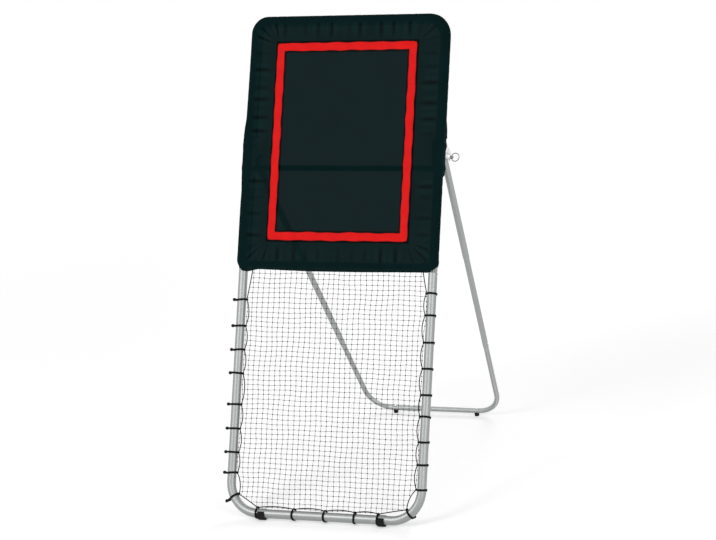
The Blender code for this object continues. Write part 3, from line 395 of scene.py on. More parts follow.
def cloth(name, color, light, see_through):
    """Black woven polyester: threads both ways, uneven dye, painted shade in the creases and painted
    highlight on the ridges beside them, and painted shade beside each edge of the tape.
    """
    finish = Finish(name, color, 0.85, Specular_IOR_Level=0.03, Alpha=see_through)
    place = finish.carried("cloth")
    along, across, from_seam = (finish.part(place, axis) for axis in "XYZ")
    weave = along.wave(0.0022) * across.wave(0.0022)
    slub = finish.grain(place, (60.0, 900.0, 0.0))
    cloud = finish.noise(place, 9.0, 4.0, 0.6)
    level = cloud * 0.7 + slub * 0.15 + weave * 0.15
    dyed = finish.ramp(level, (0.25, color), (0.75, light))
    crease = finish.carried("crease", "Fac")
    # Painted shade darkens the cloth in the creases, and painted highlight lightens the puffed ridges beside
    # them.
    crease_shaded = finish.mix(crease.above(0.46, 0.44) * 0.80, dyed, tuple(c * 0.30 for c in color))
    ridge_highlighted = finish.mix((0 - crease).above(0.16, 0.14) * 0.45, crease_shaded, tuple(c * 1.30 for c in light))
    # Painted shade: near black in a narrow band beside each edge of the tape.
    seam = (from_seam - 0.0014).maths("ABSOLUTE").above(0.0046, 0.0012)
    color = finish.mix(seam, grey(0.0004), ridge_highlighted)
    return finish.surface(color, 0.80 + weave * 0.12, weave + slub * 0.5, 0.25, 0.0003)


def webbing():
    """Red polyester tape: ribs across it, near black along each edge, and a line of stitches inside each
    edge.
    """
    finish = Finish("red_tape_weave", (0.78, 0.012, 0.012), 0.75, Specular_IOR_Level=0.06)
    place = finish.carried("cloth")
    along, across = finish.part(place, "X"), finish.part(place, "Y")
    rib = along.wave(0.0016)
    cloud = finish.noise(place, 22.0)
    base = finish.ramp(cloud * 0.75 + rib * 0.25, (0.25, (0.62, 0.006, 0.007)), (0.75, (0.76, 0.011, 0.010)))
    from_edge = TAPE_WIDTH / 2 - across.maths("ABSOLUTE")
    near_seam = 1 - (from_edge - 0.004).maths("ABSOLUTE").above(0.0007, 0.0003)
    stitch = near_seam * along.wave(0.0042).above(0.35, 0.1)
    # Near black along each edge of the tape.
    edge = 1 - from_edge.above(TAPE_DARK_EDGE, 0.0005)
    color = finish.mix(stitch * 0.65, base, (0.40, 0.004, 0.004))
    color = finish.mix(edge, color, (0.0016, 0.0004, 0.0004))
    return finish.surface(color, 0.50 + rib * 0.15, rib * 0.4 - stitch * 1.5, 0.5, 0.0004)


def braid(name, color, pitch):
    """Braided cord: crossing strands round it."""
    finish = Finish(name, color, 0.70, Specular_IOR_Level=0.08)
    place = finish.carried("tube")
    along = finish.part(place, "Z")
    turn = finish.part(place, "X").maths("ARCTAN2", finish.part(place, "Y"))
    left = (along * (tau / pitch) + turn * 3).maths("SINE")
    right = (along * (tau / pitch) - turn * 3).maths("SINE")
    strand = left.maths("MAXIMUM", right)
    light = tuple(c * 2.4 + 0.004 for c in color)
    lit = finish.ramp(strand * 0.5 + 0.5, (0.3, color), (1.0, light))
    return finish.surface(lit, 0.70 - strand * 0.08, strand, 0.4, 0.0005)


def moulded(name, color, roughness, grain=500.0):
    """Moulded rubber or plastic with a fine matt grain and a little dust."""
    finish = Finish(name, color, roughness, Specular_IOR_Level=0.15)
    place = finish.position()
    fine = finish.noise(place, grain, 2.0)
    dust = finish.noise(place, 55.0, 4.0, 0.6)
    light = tuple(c * 1.6 + 0.006 for c in color)
    dusty = finish.ramp(dust, (0.4, color), (0.75, light))
    return finish.surface(dusty, roughness - 0.05 + dust * 0.12, fine, 0.15, 0.0003)


# Meshes


def new_object(name, data):
    made = bpy.data.objects.new(name, data)
    bpy.context.collection.objects.link(made)
    return made


def circle(sides):
    """The cosine and sine of each step round."""
    return [(cos(tau * k / sides), sin(tau * k / sides)) for k in range(sides)]


class Piece:
    """Collects the points and faces of one piece, with a vector and a crease depth for its finish; the cloth
    paints shade and highlight from the crease depth.
    """

    def __init__(self):
        self.points = []
        self.faces = []
        self.vectors = []
        self.creases = []

    def add(self, point, vector=grey(0.0), crease=0.0):
        self.points.append(tuple(point))
        self.vectors.append(tuple(vector))
        self.creases.append(crease)
        return len(self.points) - 1

    def bridge(self, first, second, closed=True):
        count = len(first)
        for i in range(count if closed else count - 1):
            j = (i + 1) % count
            self.faces.append((first[i], first[j], second[j], second[i]))

    def join(self, rings, closed=True, flip=False):
        """Faces from each ring or row of points to the next."""
        for a, b in zip(rings, rings[1:]):
            first, second = (b, a) if flip else (a, b)
            self.bridge(first, second, closed)

    def sweep(self, path, radii, sides, closed=False, normal=None, wall=0.0):
        """A round bar along a path, of one radius or one for each point. A wall makes it an open tube."""
        if isinstance(radii, float):
            radii = [radii] * len(path)
        turns = path_turns(path, normal, closed)
        outer = self.skin(path, turns, radii, sides)
        self.join(outer + outer[:1] if closed else outer)
        if wall:
            inner = self.skin(path, turns, [r - wall for r in radii], sides)
            self.join(inner, flip=True)
            self.bridge(inner[0], outer[0])
            self.bridge(outer[-1], inner[-1])
        elif not closed:
            self.faces.append(tuple(reversed(outer[0])))
            self.faces.append(tuple(outer[-1]))

    def skin(self, path, turns, radii, sides):
        rings = []
        along = 0.0
        for i, (point, (side, normal)) in enumerate(zip(path, turns)):
            along += (point - path[i - 1]).length if i else 0.0
            ring = []
            for c, s in circle(sides):
                at = point + side * (radii[i] * c) + normal * (radii[i] * s)
                ring.append(self.add(at, (c, s, along)))
            rings.append(ring)
        return rings

    def ball(self, centre, radius, rings, sides, axis, squash):
        """An oval: a ball squashed or drawn out along its axis."""
        side = axis.orthogonal().normalized()
        other = axis.cross(side)
        top = self.add(centre + axis * radius * squash, (0, 0, radius))
        made = []
        for i in range(1, rings):
            a = pi * i / rings
            ring = []
            for c, s in circle(sides):
                out = (side * c + other * s) * (radius * sin(a)) + axis * (radius * squash * cos(a))
                ring.append(self.add(centre + out, (c, s, radius * cos(a))))
            made.append(ring)
        bottom = self.add(centre - axis * radius * squash, (0, 0, -radius))
        first, last = made[0], made[-1]
        self.faces += [(top, first[k], first[(k + 1) % sides]) for k in range(sides)]
        self.join(made)
        self.faces += [(last[k], bottom, last[(k + 1) % sides]) for k in range(sides)]

    def make(self, name, finish, replaced=(), vector_name="tube", flat_angle=50, body="front_frame"):
        mesh = bpy.data.meshes.new(name)
        mesh.from_pydata(self.points, [], self.faces)
        carried = mesh.attributes.new(vector_name, "FLOAT_VECTOR", "POINT")
        carried.data.foreach_set("vector", [c for vector in self.vectors for c in vector])
        if any(self.creases):
            folds = mesh.attributes.new("crease", "FLOAT", "POINT")
            folds.data.foreach_set("value", self.creases)
        mesh.shade_smooth()
        mesh.set_sharp_from_angle(angle=radians(flat_angle))
        mesh.materials.append(finish)
        made = new_object(name, mesh)
        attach(made, body)
        if replaced:
            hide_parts(*replaced)
        return made


def path_turns(path, normal, closed):
    """The side and normal of the section at each point of a path, which keeps its width at bends."""
    count = len(path)
    made = []
    carried = normal
    for i, point in enumerate(path):
        into = (point - path[i - 1]).normalized() if closed or i else None
        out = (path[(i + 1) % count] - point).normalized() if closed or i < count - 1 else None
        into = into or out
        out = out or into
        tangent = (into + out).normalized()
        if carried is None:
            carried = tangent.orthogonal()
        carried = (carried - tangent * carried.dot(tangent)).normalized()
        stretch = 1.0 / max(0.3, tangent.dot(out)) if normal is not None else 1.0
        made.append((carried.cross(tangent) * stretch, carried.copy()))
    return made


def rounded(corners, bends, steps):
    """A path through corners, each rounded to its bend radius or, with none, left as it is."""
    points = []
    count = len(corners)
    for i, (corner, bend) in enumerate(zip(corners, bends)):
        if bend == 0:
            points.append(corner)
            continue
        before = (corners[i - 1] - corner).normalized()
        after = (corners[(i + 1) % count] - corner).normalized()
        half = before.angle(after) / 2
        centre = corner + (before + after).normalized() * (bend / sin(half))
        start = (corner + before * (bend / tan(half)) - centre).normalized()
        end = (corner + after * (bend / tan(half)) - centre).normalized()
        sweep = start.angle(end)
        for step in range(steps + 1):
            t = step / steps
            weight = (sin((1 - t) * sweep) * start + sin(t * sweep) * end) / sin(sweep)
            points.append(centre + weight * bend)
    return points


def drill_button_holes(made, holes):
    """Cut a snap button's hole through one wall of a tube at each centre and direction."""
    for centre, direction in holes:
        bpy.ops.mesh.primitive_cylinder_add(radius=BUTTON_HOLE, depth=2 * TUBE_RADIUS, vertices=24)
        cutter = bpy.context.object
        turn = direction.to_track_quat("Z", "Y").to_matrix().to_4x4()
        cutter.matrix_world = Matrix.Translation(centre + direction * TUBE_RADIUS * 1.2) @ turn
        modifier = made.modifiers.new("hole", "BOOLEAN")
        modifier.operation = "DIFFERENCE"
        modifier.object = cutter
        bpy.context.view_layer.objects.active = made
        bpy.ops.object.modifier_apply(modifier=modifier.name)
        bpy.data.objects.remove(cutter, do_unlink=True)


# Tubes


def steel_tube(name, steel, node, path, radii, sides, body="front_frame"):
    """An open-ended tube in the place of a CAD node."""
    tube = Piece()
    normal = STAND_BEHIND if body == "stand" else BEHIND
    tube.sweep(path, radii, sides, normal=normal, wall=TUBE_WALL)
    return tube.make(name, steel, [node], body=body)


def build_front_tubes(steel):
    w = HALF_WIDTH
    corners = [spot(-w, HEIGHT), spot(w, HEIGHT)]
    arch = rounded([spot(-w, 0), *corners, spot(w, 0)], (0, TOP_BEND, TOP_BEND, 0), 14)[1:-1]
    plug = TUBE_RADIUS - TUBE_WALL - SEAM_GAP
    steps = [(JOINT_HEIGHT - PLUG_LENGTH, plug), (JOINT_HEIGHT, plug)]
    steps += [(h, TUBE_RADIUS) for h in (JOINT_HEIGHT + SWAGE_LENGTH, 1.2, 1.4, 1.6, 1.8)]
    path = [spot(-w, h) for h, _ in steps] + arch + [spot(w, h) for h, _ in reversed(steps)]
    radii = [r for _, r in steps] + [TUBE_RADIUS] * len(arch) + [r for _, r in reversed(steps)]
    steel_tube("upper_tube", steel, "frame_upper_tube", path, radii, 36)

    seam = JOINT_HEIGHT - SEAM_GAP
    ends = [spot(-w, seam), spot(-w, 0), spot(w, 0), spot(w, seam)]
    path = rounded(ends, (0, BOTTOM_BEND, BOTTOM_BEND, 0), 20)
    made = steel_tube("lower_tube", steel, "frame_lower_tube", path, TUBE_RADIUS, 36)
    drill_button_holes(made, [(spot(s * w, FRAME_BUTTON_HEIGHT), ACROSS * s) for _, s in SIDES])


def build_cross_tubes(steel):
    bars = (("crossbar", CROSSBAR_HEIGHT, CROSSBAR_HALF_LENGTH), ("net_rail", RAIL_HEIGHT, RAIL_HALF_LENGTH))
    for name, height, half in bars:
        path = [spot(-half + 2 * half * i / 8, height) for i in range(9)]
        steel_tube(f"{name}_tube", steel, name, path, CROSS_RADIUS, 28)


def build_stand_tubes(steel):
    spans = (
        ("upper", -LEG_TOP, UPPER_LEG, LEG_RADIUS),
        ("middle", UPPER_LEG - LEG_LAP, MIDDLE_LEG, MIDDLE_RADIUS),
    )
    for name, side in SIDES:
        def on_leg(down):
            return stand_spot(side * (LEG_PLACE - down * sin(LEG_SPLAY)), down * cos(LEG_SPLAY))

        out = (ACROSS * side * cos(LEG_SPLAY) + DOWN_STAND * sin(LEG_SPLAY)).normalized()
        for part, top, bottom, radius in spans:
            path = [on_leg(top + (bottom - top) * i / 6) for i in range(7)]
            tube, node = f"{part}_leg_tube_{name}", f"leg_{part}_{name}"
            made = steel_tube(tube, steel, node, path, radius, 32, "stand")
            drill_button_holes(made, [(on_leg(bottom - LEG_BUTTON_ABOVE_SEAM), out)])

    top = MIDDLE_LEG - LEG_LAP
    x = LEG_PLACE - top * sin(LEG_SPLAY)
    down = top * cos(LEG_SPLAY)
    ends = ((-x, down), (-BASE_HALF_WIDTH, LEG_LENGTH), (BASE_HALF_WIDTH, LEG_LENGTH), (x, down))
    path = rounded([stand_spot(*end) for end in ends], (0, BASE_BEND, BASE_BEND, 0), 16)
    steel_tube("base_bar", steel, "base_tube", path, BASE_RADIUS, 32, "stand")


# Net


def tie_anchors():
    """Every tie: side, place on the tube's line, way into the net, tube radius, bead's place and turn."""
    w = HALF_WIDTH
    anchors = []

    def tie(side, at, inward, radius=TUBE_RADIUS, bead=None, turn=None):
        anchors.append((side, at, inward, radius, bead or BEAD_PLACES[side], turn or BEAD_TURNS[side]))

    def corner(side, angle, bead=None, turn=None):
        out = Vector((cos(angle), sin(angle)))
        centre = Vector((copysign(w - BOTTOM_BEND, out.x), BOTTOM_BEND))
        tie(side, centre + out * BOTTOM_BEND, -out, TUBE_RADIUS, bead, turn)

    def up_side(share):
        return BOTTOM_BEND + share * (JOINT_HEIGHT - BOTTOM_BEND)

    corner("left", LEFT_CORNER_TIE, LEFT_CORNER_BEAD_PLACE)
    middle = [share * RIGHT_FOOT for share in MIDDLE_TIES]
    for x in (LEFT_FOOT - FOOT_TO_LEFT_TIE, *middle, RIGHT_FOOT - FOOT_TO_RIGHT_TIE):
        tie("bottom", Vector((x, 0)), Vector((0, 1)))
    corner("right", RIGHT_CORNER_TIE, turn=RIGHT_CORNER_BEAD_TURN)
    for share in RIGHT_TIES:
        tie("right", Vector((w, up_side(share))), Vector((-1, 0)))
    for i in range(RAIL_TIES):
        x = (w - RAIL_TIE_INSET) * (1 - 2 * i / (RAIL_TIES - 1))
        tie("top", Vector((x, RAIL_HEIGHT)), Vector((0, -1)), CROSS_RADIUS)
    for share in reversed(LEFT_TIES):
        tie("left", Vector((-w, up_side(share))), Vector((1, 0)))
    return anchors


def rope_outline(anchors):
    """The border rope's line as (x, height), bowed in between ties, and the side of each point."""
    line = []
    sides = []
    steps = 12
    seat = TIE_RADIUS + ROPE_RADIUS
    for here, there in zip(anchors, anchors[1:] + anchors[:1]):
        side, at, inward, radius = here[:4]
        next_side, next_at, next_inward, next_radius = there[:4]
        start = at + inward * (radius + seat)
        end = next_at + next_inward * (next_radius + seat)
        span = (end - start).length
        depth = ROPE_BOWS[side] * min(1.0, span / FULL_BOW_SPAN) if side == next_side else CORNER_BOW
        bow = (inward + next_inward).normalized() * depth
        for step in range(steps):
            t = step / steps
            line.append(start.lerp(end, t) + bow * sin(pi * t) ** 0.7)
            sides.append(side if t < 0.5 else next_side)
    return line, sides


def crossings(line, level, axis):
    """Where the closed line crosses x = level (axis 0) or height = level (axis 1), in order."""
    found = []
    for a, b in zip(line, line[1:] + line[:1]):
        if (a[axis] - level) * (b[axis] - level) < 0:
            t = (level - a[axis]) / (b[axis] - a[axis])
            found.append(a[1 - axis] + t * (b[1 - axis] - a[1 - axis]))
    return sorted(found)


def even_places(line, axis, pitch):
    """Places at one pitch along an axis, centred inside the closed line."""
    low, high = min(p[axis] for p in line), max(p[axis] for p in line)
    count = int((high - low) / pitch)
    start = (low + high - count * pitch) / 2
    return [start + i * pitch for i in range(count + 1)]


def net_point(x, height):
    """A point of the net, pulled a little out of its even grid."""
    seed = Vector((x * 9.0, height * 9.0, 3.7))
    fine = Vector((x * 55.0, height * 55.0, 8.1))
    dx = noise(seed) * 0.006 + noise(fine) * 0.0022
    dz = noise(seed + Vector((5, 5, 5))) * 0.005 + noise(fine + Vector((9, 9, 9))) * 0.0018
    behind = noise(seed * 0.5) * 0.004 + noise(fine * 0.7) * 0.0012
    return x + dx, height + dz, behind


def build_net(twine, line):
    across = even_places(line, 0, NET_PITCH_ACROSS)
    up = even_places(line, 1, NET_PITCH_UP)
    net = Piece()
    inside = set()

    def strand(level, axis, steps):
        ends = crossings(line, level, axis)
        if len(ends) < 2:
            return
        low, high = ends[0], ends[-1]
        least = (NET_PITCH_UP if axis == 0 else NET_PITCH_ACROSS) * KNOT_TO_ROPE
        inner = [s for s in steps if low + least < s < high - least]
        if len(inner) < 2:
            return
        path = []
        for place in [low] + inner + [high]:
            x, z = (level, place) if axis == 0 else (place, level)
            if low < place < high:
                inside.add((round(x, 5), round(z, 5)))
                path.append(spot(*net_point(x, z)))
            else:
                path.append(spot(x, z))
        net.sweep(path, TWINE_RADIUS, 5, normal=BEHIND)

    for x in across:
        strand(x, 0, up)
    for z in up:
        strand(z, 1, across)
    for x, z in sorted(inside):
        net.ball(spot(*net_point(x, z)), KNOT_RADIUS, 4, 6, BEHIND, 0.8)
    net.make("knotted_net", twine, ["net_panel"])


def build_lacing(cord_finish, bead_finish, anchors, line, sides):
    """The border rope in four runs, and the elastic loop and bead of each tie."""
    count = len(line)
    for name in ("left", "right", "top", "bottom"):
        i = next(i for i in range(count) if sides[i] == name and sides[i - 1] != name)
        run = [line[i]]
        while sides[i % count] == name:
            i += 1
            run.append(line[i % count])
        rope = Piece()
        rope.sweep([spot(p.x, p.y) for p in run], ROPE_RADIUS, 8, normal=BEHIND)
        beads = Piece()
        for side, at, inward, radius, bead, turn in anchors:
            if side == name:
                tie_loop(rope, at, inward, radius, bead, turn)
                tie_bead(beads, at, inward, bead, turn)
        rope.make(f"border_rope_{name}", cord_finish, [f"net_lacing_{name}"])
        beads.make(f"tie_beads_{name}", bead_finish)


def bead_direction(inward, turn):
    angle = radians(turn)
    into = ACROSS * inward.x + UP_FRAME * inward.y
    return BEHIND * sin(angle) - into * cos(angle)


def tie_loop(piece, at, inward, radius, bead, turn):
    """A cord doubled round the tube: two strands that hook the rope and meet at the bead."""
    into = ACROSS * inward.x + UP_FRAME * inward.y
    along = into.cross(BEHIND)
    out = bead_direction(inward, turn)
    centre = spot(at.x, at.y)
    rng = random.Random(round(at.x * 1000) * 7 + round(at.y * 1000))
    skew = rng.uniform(-0.003, 0.003)
    steps = 36
    for strand in (-1, 1):
        path = []
        for i in range(steps):
            a = tau * i / steps
            around = into * cos(a) + BEHIND * sin(a)
            toward = around.dot(out)
            drawn = max(0.0, toward) ** 11
            hooked = max(0.0, cos(a)) ** 8
            reach = radius + TIE_RADIUS + (bead - radius - TIE_RADIUS) * drawn
            reach += 3 * ROPE_RADIUS * hooked
            aside = skew * toward + strand * TIE_RADIUS * (1 - 0.5 * drawn - 0.25 * hooked)
            path.append(centre + around * reach + along * aside)
        piece.sweep(path, TIE_RADIUS, 8, closed=True, normal=along)


def tie_bead(piece, at, inward, bead, turn):
    """A tie's moulded bead, a little long, with a collar where the cord goes in."""
    out = bead_direction(inward, turn)
    centre = spot(at.x, at.y) + out * bead
    piece.ball(centre, BEAD_RADIUS, 12, 18, out, 1.08)
    collar = [centre - out * (BEAD_RADIUS * reach) for reach in (1.35, 1.2, 0.8, 0.6)]
    widths = [BEAD_RADIUS * share for share in (0.50, 0.62, 0.66, 0.5)]
    piece.sweep(collar, widths, 12)


# Target


def rectangle(half, low, high):
    """Its corners, from the lower left one round."""
    return [Vector((x, y, 0)) for x, y in ((-half, low), (half, low), (half, high), (-half, high))]


def ripple(place, scale, layer):
    """Smooth unevenness over the front frame, about -1 to 1."""
    return noise((place.x * scale, place.y * scale, layer))


def cover_perimeter():
    """Points round the tubes' line, each with its way out and its length along the line."""
    bends = (COVER_BOTTOM_BEND, COVER_BOTTOM_BEND, COVER_RIGHT_BEND, COVER_LEFT_BEND)
    flat = rounded(rectangle(HALF_WIDTH, RAIL_HEIGHT, HEIGHT), bends, 24)
    line = []
    for a, b in zip(flat, flat[1:] + flat[:1]):
        count = max(1, round((b - a).length / COVER_SPACING))
        line += [a.lerp(b, i / count) for i in range(count)]
    stations = []
    travelled = 0.0
    for i, point in enumerate(line):
        after = line[(i + 1) % len(line)]
        tangent = (after - line[i - 1]).normalized()
        stations.append((point, Vector((tangent.y, -tangent.x, 0)), travelled))
        travelled += (after - point).length
    return stations


def inner_corner(point):
    """The nearest point of the sheet's outline, which lies a little under the tape."""
    x = min(max(point.x, -SHEET_HALF_WIDTH), SHEET_HALF_WIDTH)
    return Vector((x, min(max(point.y, SHEET_BOTTOM), SHEET_TOP), 0))


def smooth(share):
    share = min(1.0, max(0.0, share))
    return share * share * (3 - 2 * share)


def crease_places():
    """Where the cover is drawn in, unevenly along each side and at each corner, and how far."""
    places = []
    rng = random.Random(5)
    middle = (RAIL_HEIGHT + HEIGHT) / 2

    def uneven(i, count):
        return (i - (count - 1) / 2) * CREASE_PITCH + rng.uniform(-CREASE_SHIFT, CREASE_SHIFT)

    for i in range(CREASES_ACROSS):
        for height in (RAIL_HEIGHT, HEIGHT):
            places.append((Vector((uneven(i, CREASES_ACROSS), height, 0)), rng.uniform(0.35, 1.0)))
    for i in range(CREASES_UP):
        for _, side in SIDES:
            at = Vector((side * HALF_WIDTH, middle + uneven(i, CREASES_UP), 0))
            places.append((at, rng.uniform(0.35, 1.0)))
    for side, top_bend in ((-1, COVER_LEFT_BEND), (1, COVER_RIGHT_BEND)):
        for height, bend in ((RAIL_HEIGHT, COVER_BOTTOM_BEND), (HEIGHT, top_bend)):
            inset = bend * (1 - sqrt(0.5))
            toward_middle = 1 if height < middle else -1
            at = Vector((side * (HALF_WIDTH - inset), height + toward_middle * inset, 0))
            places.append((at, CORNER_CREASE))
    return places


def crease_profile(point, places):
    """How far the cover is drawn in beside the tube, with a puffed ridge beside each crease."""
    depth = 0.0
    for at, strength in places:
        away = (point - at).length / CREASE_WIDTH
        if away < 8:
            depth += strength * exp(-(away**2))
            depth -= strength * 0.34 * exp(-(((away - 2.6) / 1.5) ** 2))
    return depth * (1 - smooth(1 - beyond_bracket(point) / 0.03))


def beyond_bracket(point):
    """How far a point of a side is above or below its pivot bracket; far for a point of the top or bottom."""
    if abs(point.x) < HALF_WIDTH - 0.001:
        return 1.0
    return max(BRACKET_LOW - point.y, point.y - BRACKET_HIGH)


def near_bracket(point):
    """1 beside a pivot bracket, fading above and below it, fast only under the right one."""
    sharp = point.x > 0 and point.y < BRACKET_LOW
    return smooth(1 - beyond_bracket(point) / (BRACKET_SHARP_BLEND if sharp else BRACKET_BLEND))


def lower_corner_share(point):
    """0 down the sides, 1 along the bottom, and between them round the lower corners."""
    centre = Vector((HALF_WIDTH - COVER_BOTTOM_BEND, RAIL_HEIGHT + COVER_BOTTOM_BEND))
    below = centre.y - point.y
    if below <= 0:
        return 0.0
    aside = abs(point.x) - centre.x
    return 1.0 if aside <= 0 else atan2(below, aside) / (pi / 2)


def slack_out(point):
    """How far loose cloth stands out: low on the left, above the right bracket and below the rail."""
    left = LEFT_SLACK * smooth((TAPE_TOP - point.y) / 0.8) * smooth((-point.x - 0.36) / 0.06)
    right = (BRACKET_COVER - COVER_RADIUS) * smooth((point.y - BRACKET_LOW) / 0.02)
    right *= smooth((point.x - 0.36) / 0.06)
    below = smooth((RAIL_HEIGHT + 0.04 - point.y) / 0.04)
    sag = 0.0015 + 0.0065 * smooth((point.x + HALF_WIDTH) / 0.35)
    sag -= 0.0035 * smooth((point.x - 0.05) / 0.35)
    return (left + right) * (1 - near_bracket(point)) + below * sag


def wrap_shape(point):
    """How the cover goes round the tube: radius, squareness, turn in degrees and length behind."""
    radius, square, turn, behind = COVER_RADIUS, 2.0, 180.0, COVER_RETURN
    near = near_bracket(point)
    radius += (BRACKET_COVER - COVER_RADIUS) * near
    square += (BRACKET_SQUARE - 2) * near * near
    slotted = smooth((SLOT_MARGIN - beyond_bracket(point)) / 0.008)
    turn -= (180.0 - SLOT_EDGE_TURN) * slotted
    if slotted > 0.02:
        behind = 0.0
    share = lower_corner_share(point)
    turn -= (180.0 - COVER_LIP_END) * smooth((share - 0.45) / 0.45)
    behind *= 1 - smooth((share - 0.1) / 0.4)
    return radius, square, turn, behind


def clear_of_tube(place, depth, in_front):
    """At a lower corner the tube leaves through the cover, whose cloth lies over it on both faces."""
    room = CLEAR_OF_TUBE**2 - (abs(place.x) - HALF_WIDTH) ** 2
    if room <= 0:
        return depth
    return min(depth, -sqrt(room)) if in_front else max(depth, sqrt(room))


def cover_front(point, radius, drawn_in):
    """The cover's front, from under the tape to the tube, as (place, depth, crease)."""
    inner = inner_corner(point)
    front = []
    for i in range(COVER_STEPS):
        t = i / COVER_STEPS
        place = inner.lerp(point, t)
        uneven = 0.0012 + ripple(place, 26, 1.5) * 0.0009 + ripple(place, 8, 7.1) * 0.0010
        lift = (radius - COVER_RADIUS) * smooth((t - 0.45) / 0.3)
        crease = drawn_in * smooth((t - 0.05) / 0.55) * (1 - smooth((t - 0.80) / 0.18))
        depth = -COVER_RADIUS - lift + sin(pi * t) * uneven + crease * CREASE_DEPTH
        front.append((place, min(depth, -CLEAR_OF_TUBE) if t > 0.8 else depth, crease))
    return front


def over_bolts(point):
    """How far the cover stands out over the bolts of a side."""
    if abs(point.x) <= HALF_WIDTH - 0.001:
        return 0.0
    away = [(point.y - height) / OVER_BOLT_SPREAD for height in (BRACKET_BOLT_HEIGHT, CROSSBAR_HEIGHT)]
    return sum(OVER_BOLT * exp(-(share**2)) for share in away)


def cover_wrap(point, out, radius, square, turn, drawn_in):
    """The cover's way round the tube, as (place, depth, crease)."""
    slack = slack_out(point)
    bolts = over_bolts(point)
    at_corner = lower_corner_share(point) > 0
    wrap = []
    for i in range(COVER_STEPS + 1):
        a = radians(turn * i / COVER_STEPS)
        s, c = abs(sin(a)), cos(a)
        reach = radius / (s**square + abs(c) ** square) ** (1 / square) + bolts * s**4
        gathered = drawn_in * (1 - c) / 2
        reach = max(reach - gathered * 0.0010, LEAST_REACH)
        place = point + out * (reach * s + slack * s * s)
        depth = -reach * c
        if at_corner:
            depth = clear_of_tube(place, depth, i <= COVER_STEPS / 2 or turn < 120)
        wrap.append((place, depth, gathered * 0.8))
    return wrap


def cover_hem(wrap, out, turn, behind, drawn_in):
    """The cover's way back behind the tube and its hem, or a short turned edge where none goes back."""
    before, depth_before, _ = wrap[-2]
    end, depth, _ = wrap[-1]
    hem = []
    for i in range(1, 5):
        hem.append((end - out * (behind * i / 4), depth + 0.0004 * sin(pi * i / 4), drawn_in))
    fold, depth_fold = -out * COVER_HEM, 0.0
    if behind < 0.001:
        share = COVER_TURNED_EDGE / hypot((end - before).length, depth - depth_before)
        fold, depth_fold = (end - before) * share, (depth - depth_before) * share
    inside = -out * (CLOTH_THICK * sin(radians(turn)))
    depth_inside = CLOTH_THICK * cos(radians(turn))
    edge, depth_edge, _ = hem[-1]
    for share in (0.0, 0.5, 1.0):
        hem.append((edge - fold * share + inside, depth_edge - depth_fold * share + depth_inside, 0.0))
    return hem


def cover_section(point, out, places):
    """The cover's section at one place: its front, its way round the tube, and its hem."""
    drawn_in = crease_profile(point, places)
    radius, square, turn, behind = wrap_shape(point)
    wrap = cover_wrap(point, out, radius, square, turn, drawn_in)
    return cover_front(point, radius, drawn_in) + wrap + cover_hem(wrap, out, turn, behind, drawn_in)


def build_cover(fabric):
    """The target's border: one cloth drawn over the tubes, open under the tape."""
    places = crease_places()
    cover = Piece()
    rings = []
    for point, out, along in cover_perimeter():
        ring = []
        across = 0.0
        last = None
        for place, depth, crease in cover_section(point, out, places):
            if last:
                across += hypot((place - last[0]).length, depth - last[1])
            last = (place, depth)
            beyond_tape = max(abs(place.x) - TAPE_HALF_WIDTH, TAPE_BOTTOM - place.y, place.y - TAPE_TOP)
            ring.append(cover.add(spot(place.x, place.y, depth), (along, across, beyond_tape), crease))
        rings.append(ring)
    cover.join(rings + rings[:1], closed=False)
    return cover.make("target_border", fabric, ["target_cover"], "cloth", 75)


def build_target_sheet(fabric):
    """The taut middle of the target, with faint pulls along its edges."""
    width, length = 2 * SHEET_HALF_WIDTH, SHEET_TOP - SHEET_BOTTOM
    columns, rows = round(width / SHEET_STEP), round(length / SHEET_STEP)
    sheet = Piece()
    grid = []
    for j in range(rows + 1):
        row = []
        for i in range(columns + 1):
            u, v = i / columns, j / rows
            x, z = -SHEET_HALF_WIDTH + width * u, SHEET_BOTTOM + length * v
            edge = min(u, 1 - u, v, 1 - v)
            belly = (sin(pi * u) * sin(pi * v)) ** 0.5
            broad = noise((x * 11, z * 11, 0.3))
            behind = -COVER_RADIUS + 0.0012 * belly + 0.0009 * broad * belly
            behind += 0.0006 * noise((x * 60, z * 60, 0.9)) * exp(-edge * 25)
            inside = min(TAPE_HALF_WIDTH - abs(x), z - TAPE_BOTTOM, TAPE_TOP - z) - TAPE_WIDTH
            row.append(sheet.add(spot(x, z, behind), (x, z, inside)))
        grid.append(row)
    sheet.join(grid, closed=False)
    made = sheet.make("target_cloth", fabric, ["target_sheet"], "cloth")
    return made, (width, length)


def tape_edge(place, seed):
    """How far a sewn edge of the tape is out of line: a slow pucker and some drift."""
    pucker = sin(tau * place / PUCKER_PITCH + seed * 2.1)
    return 0.0014 * pucker + 0.0028 * noise((place * 9, seed * 3.3, 6.0))


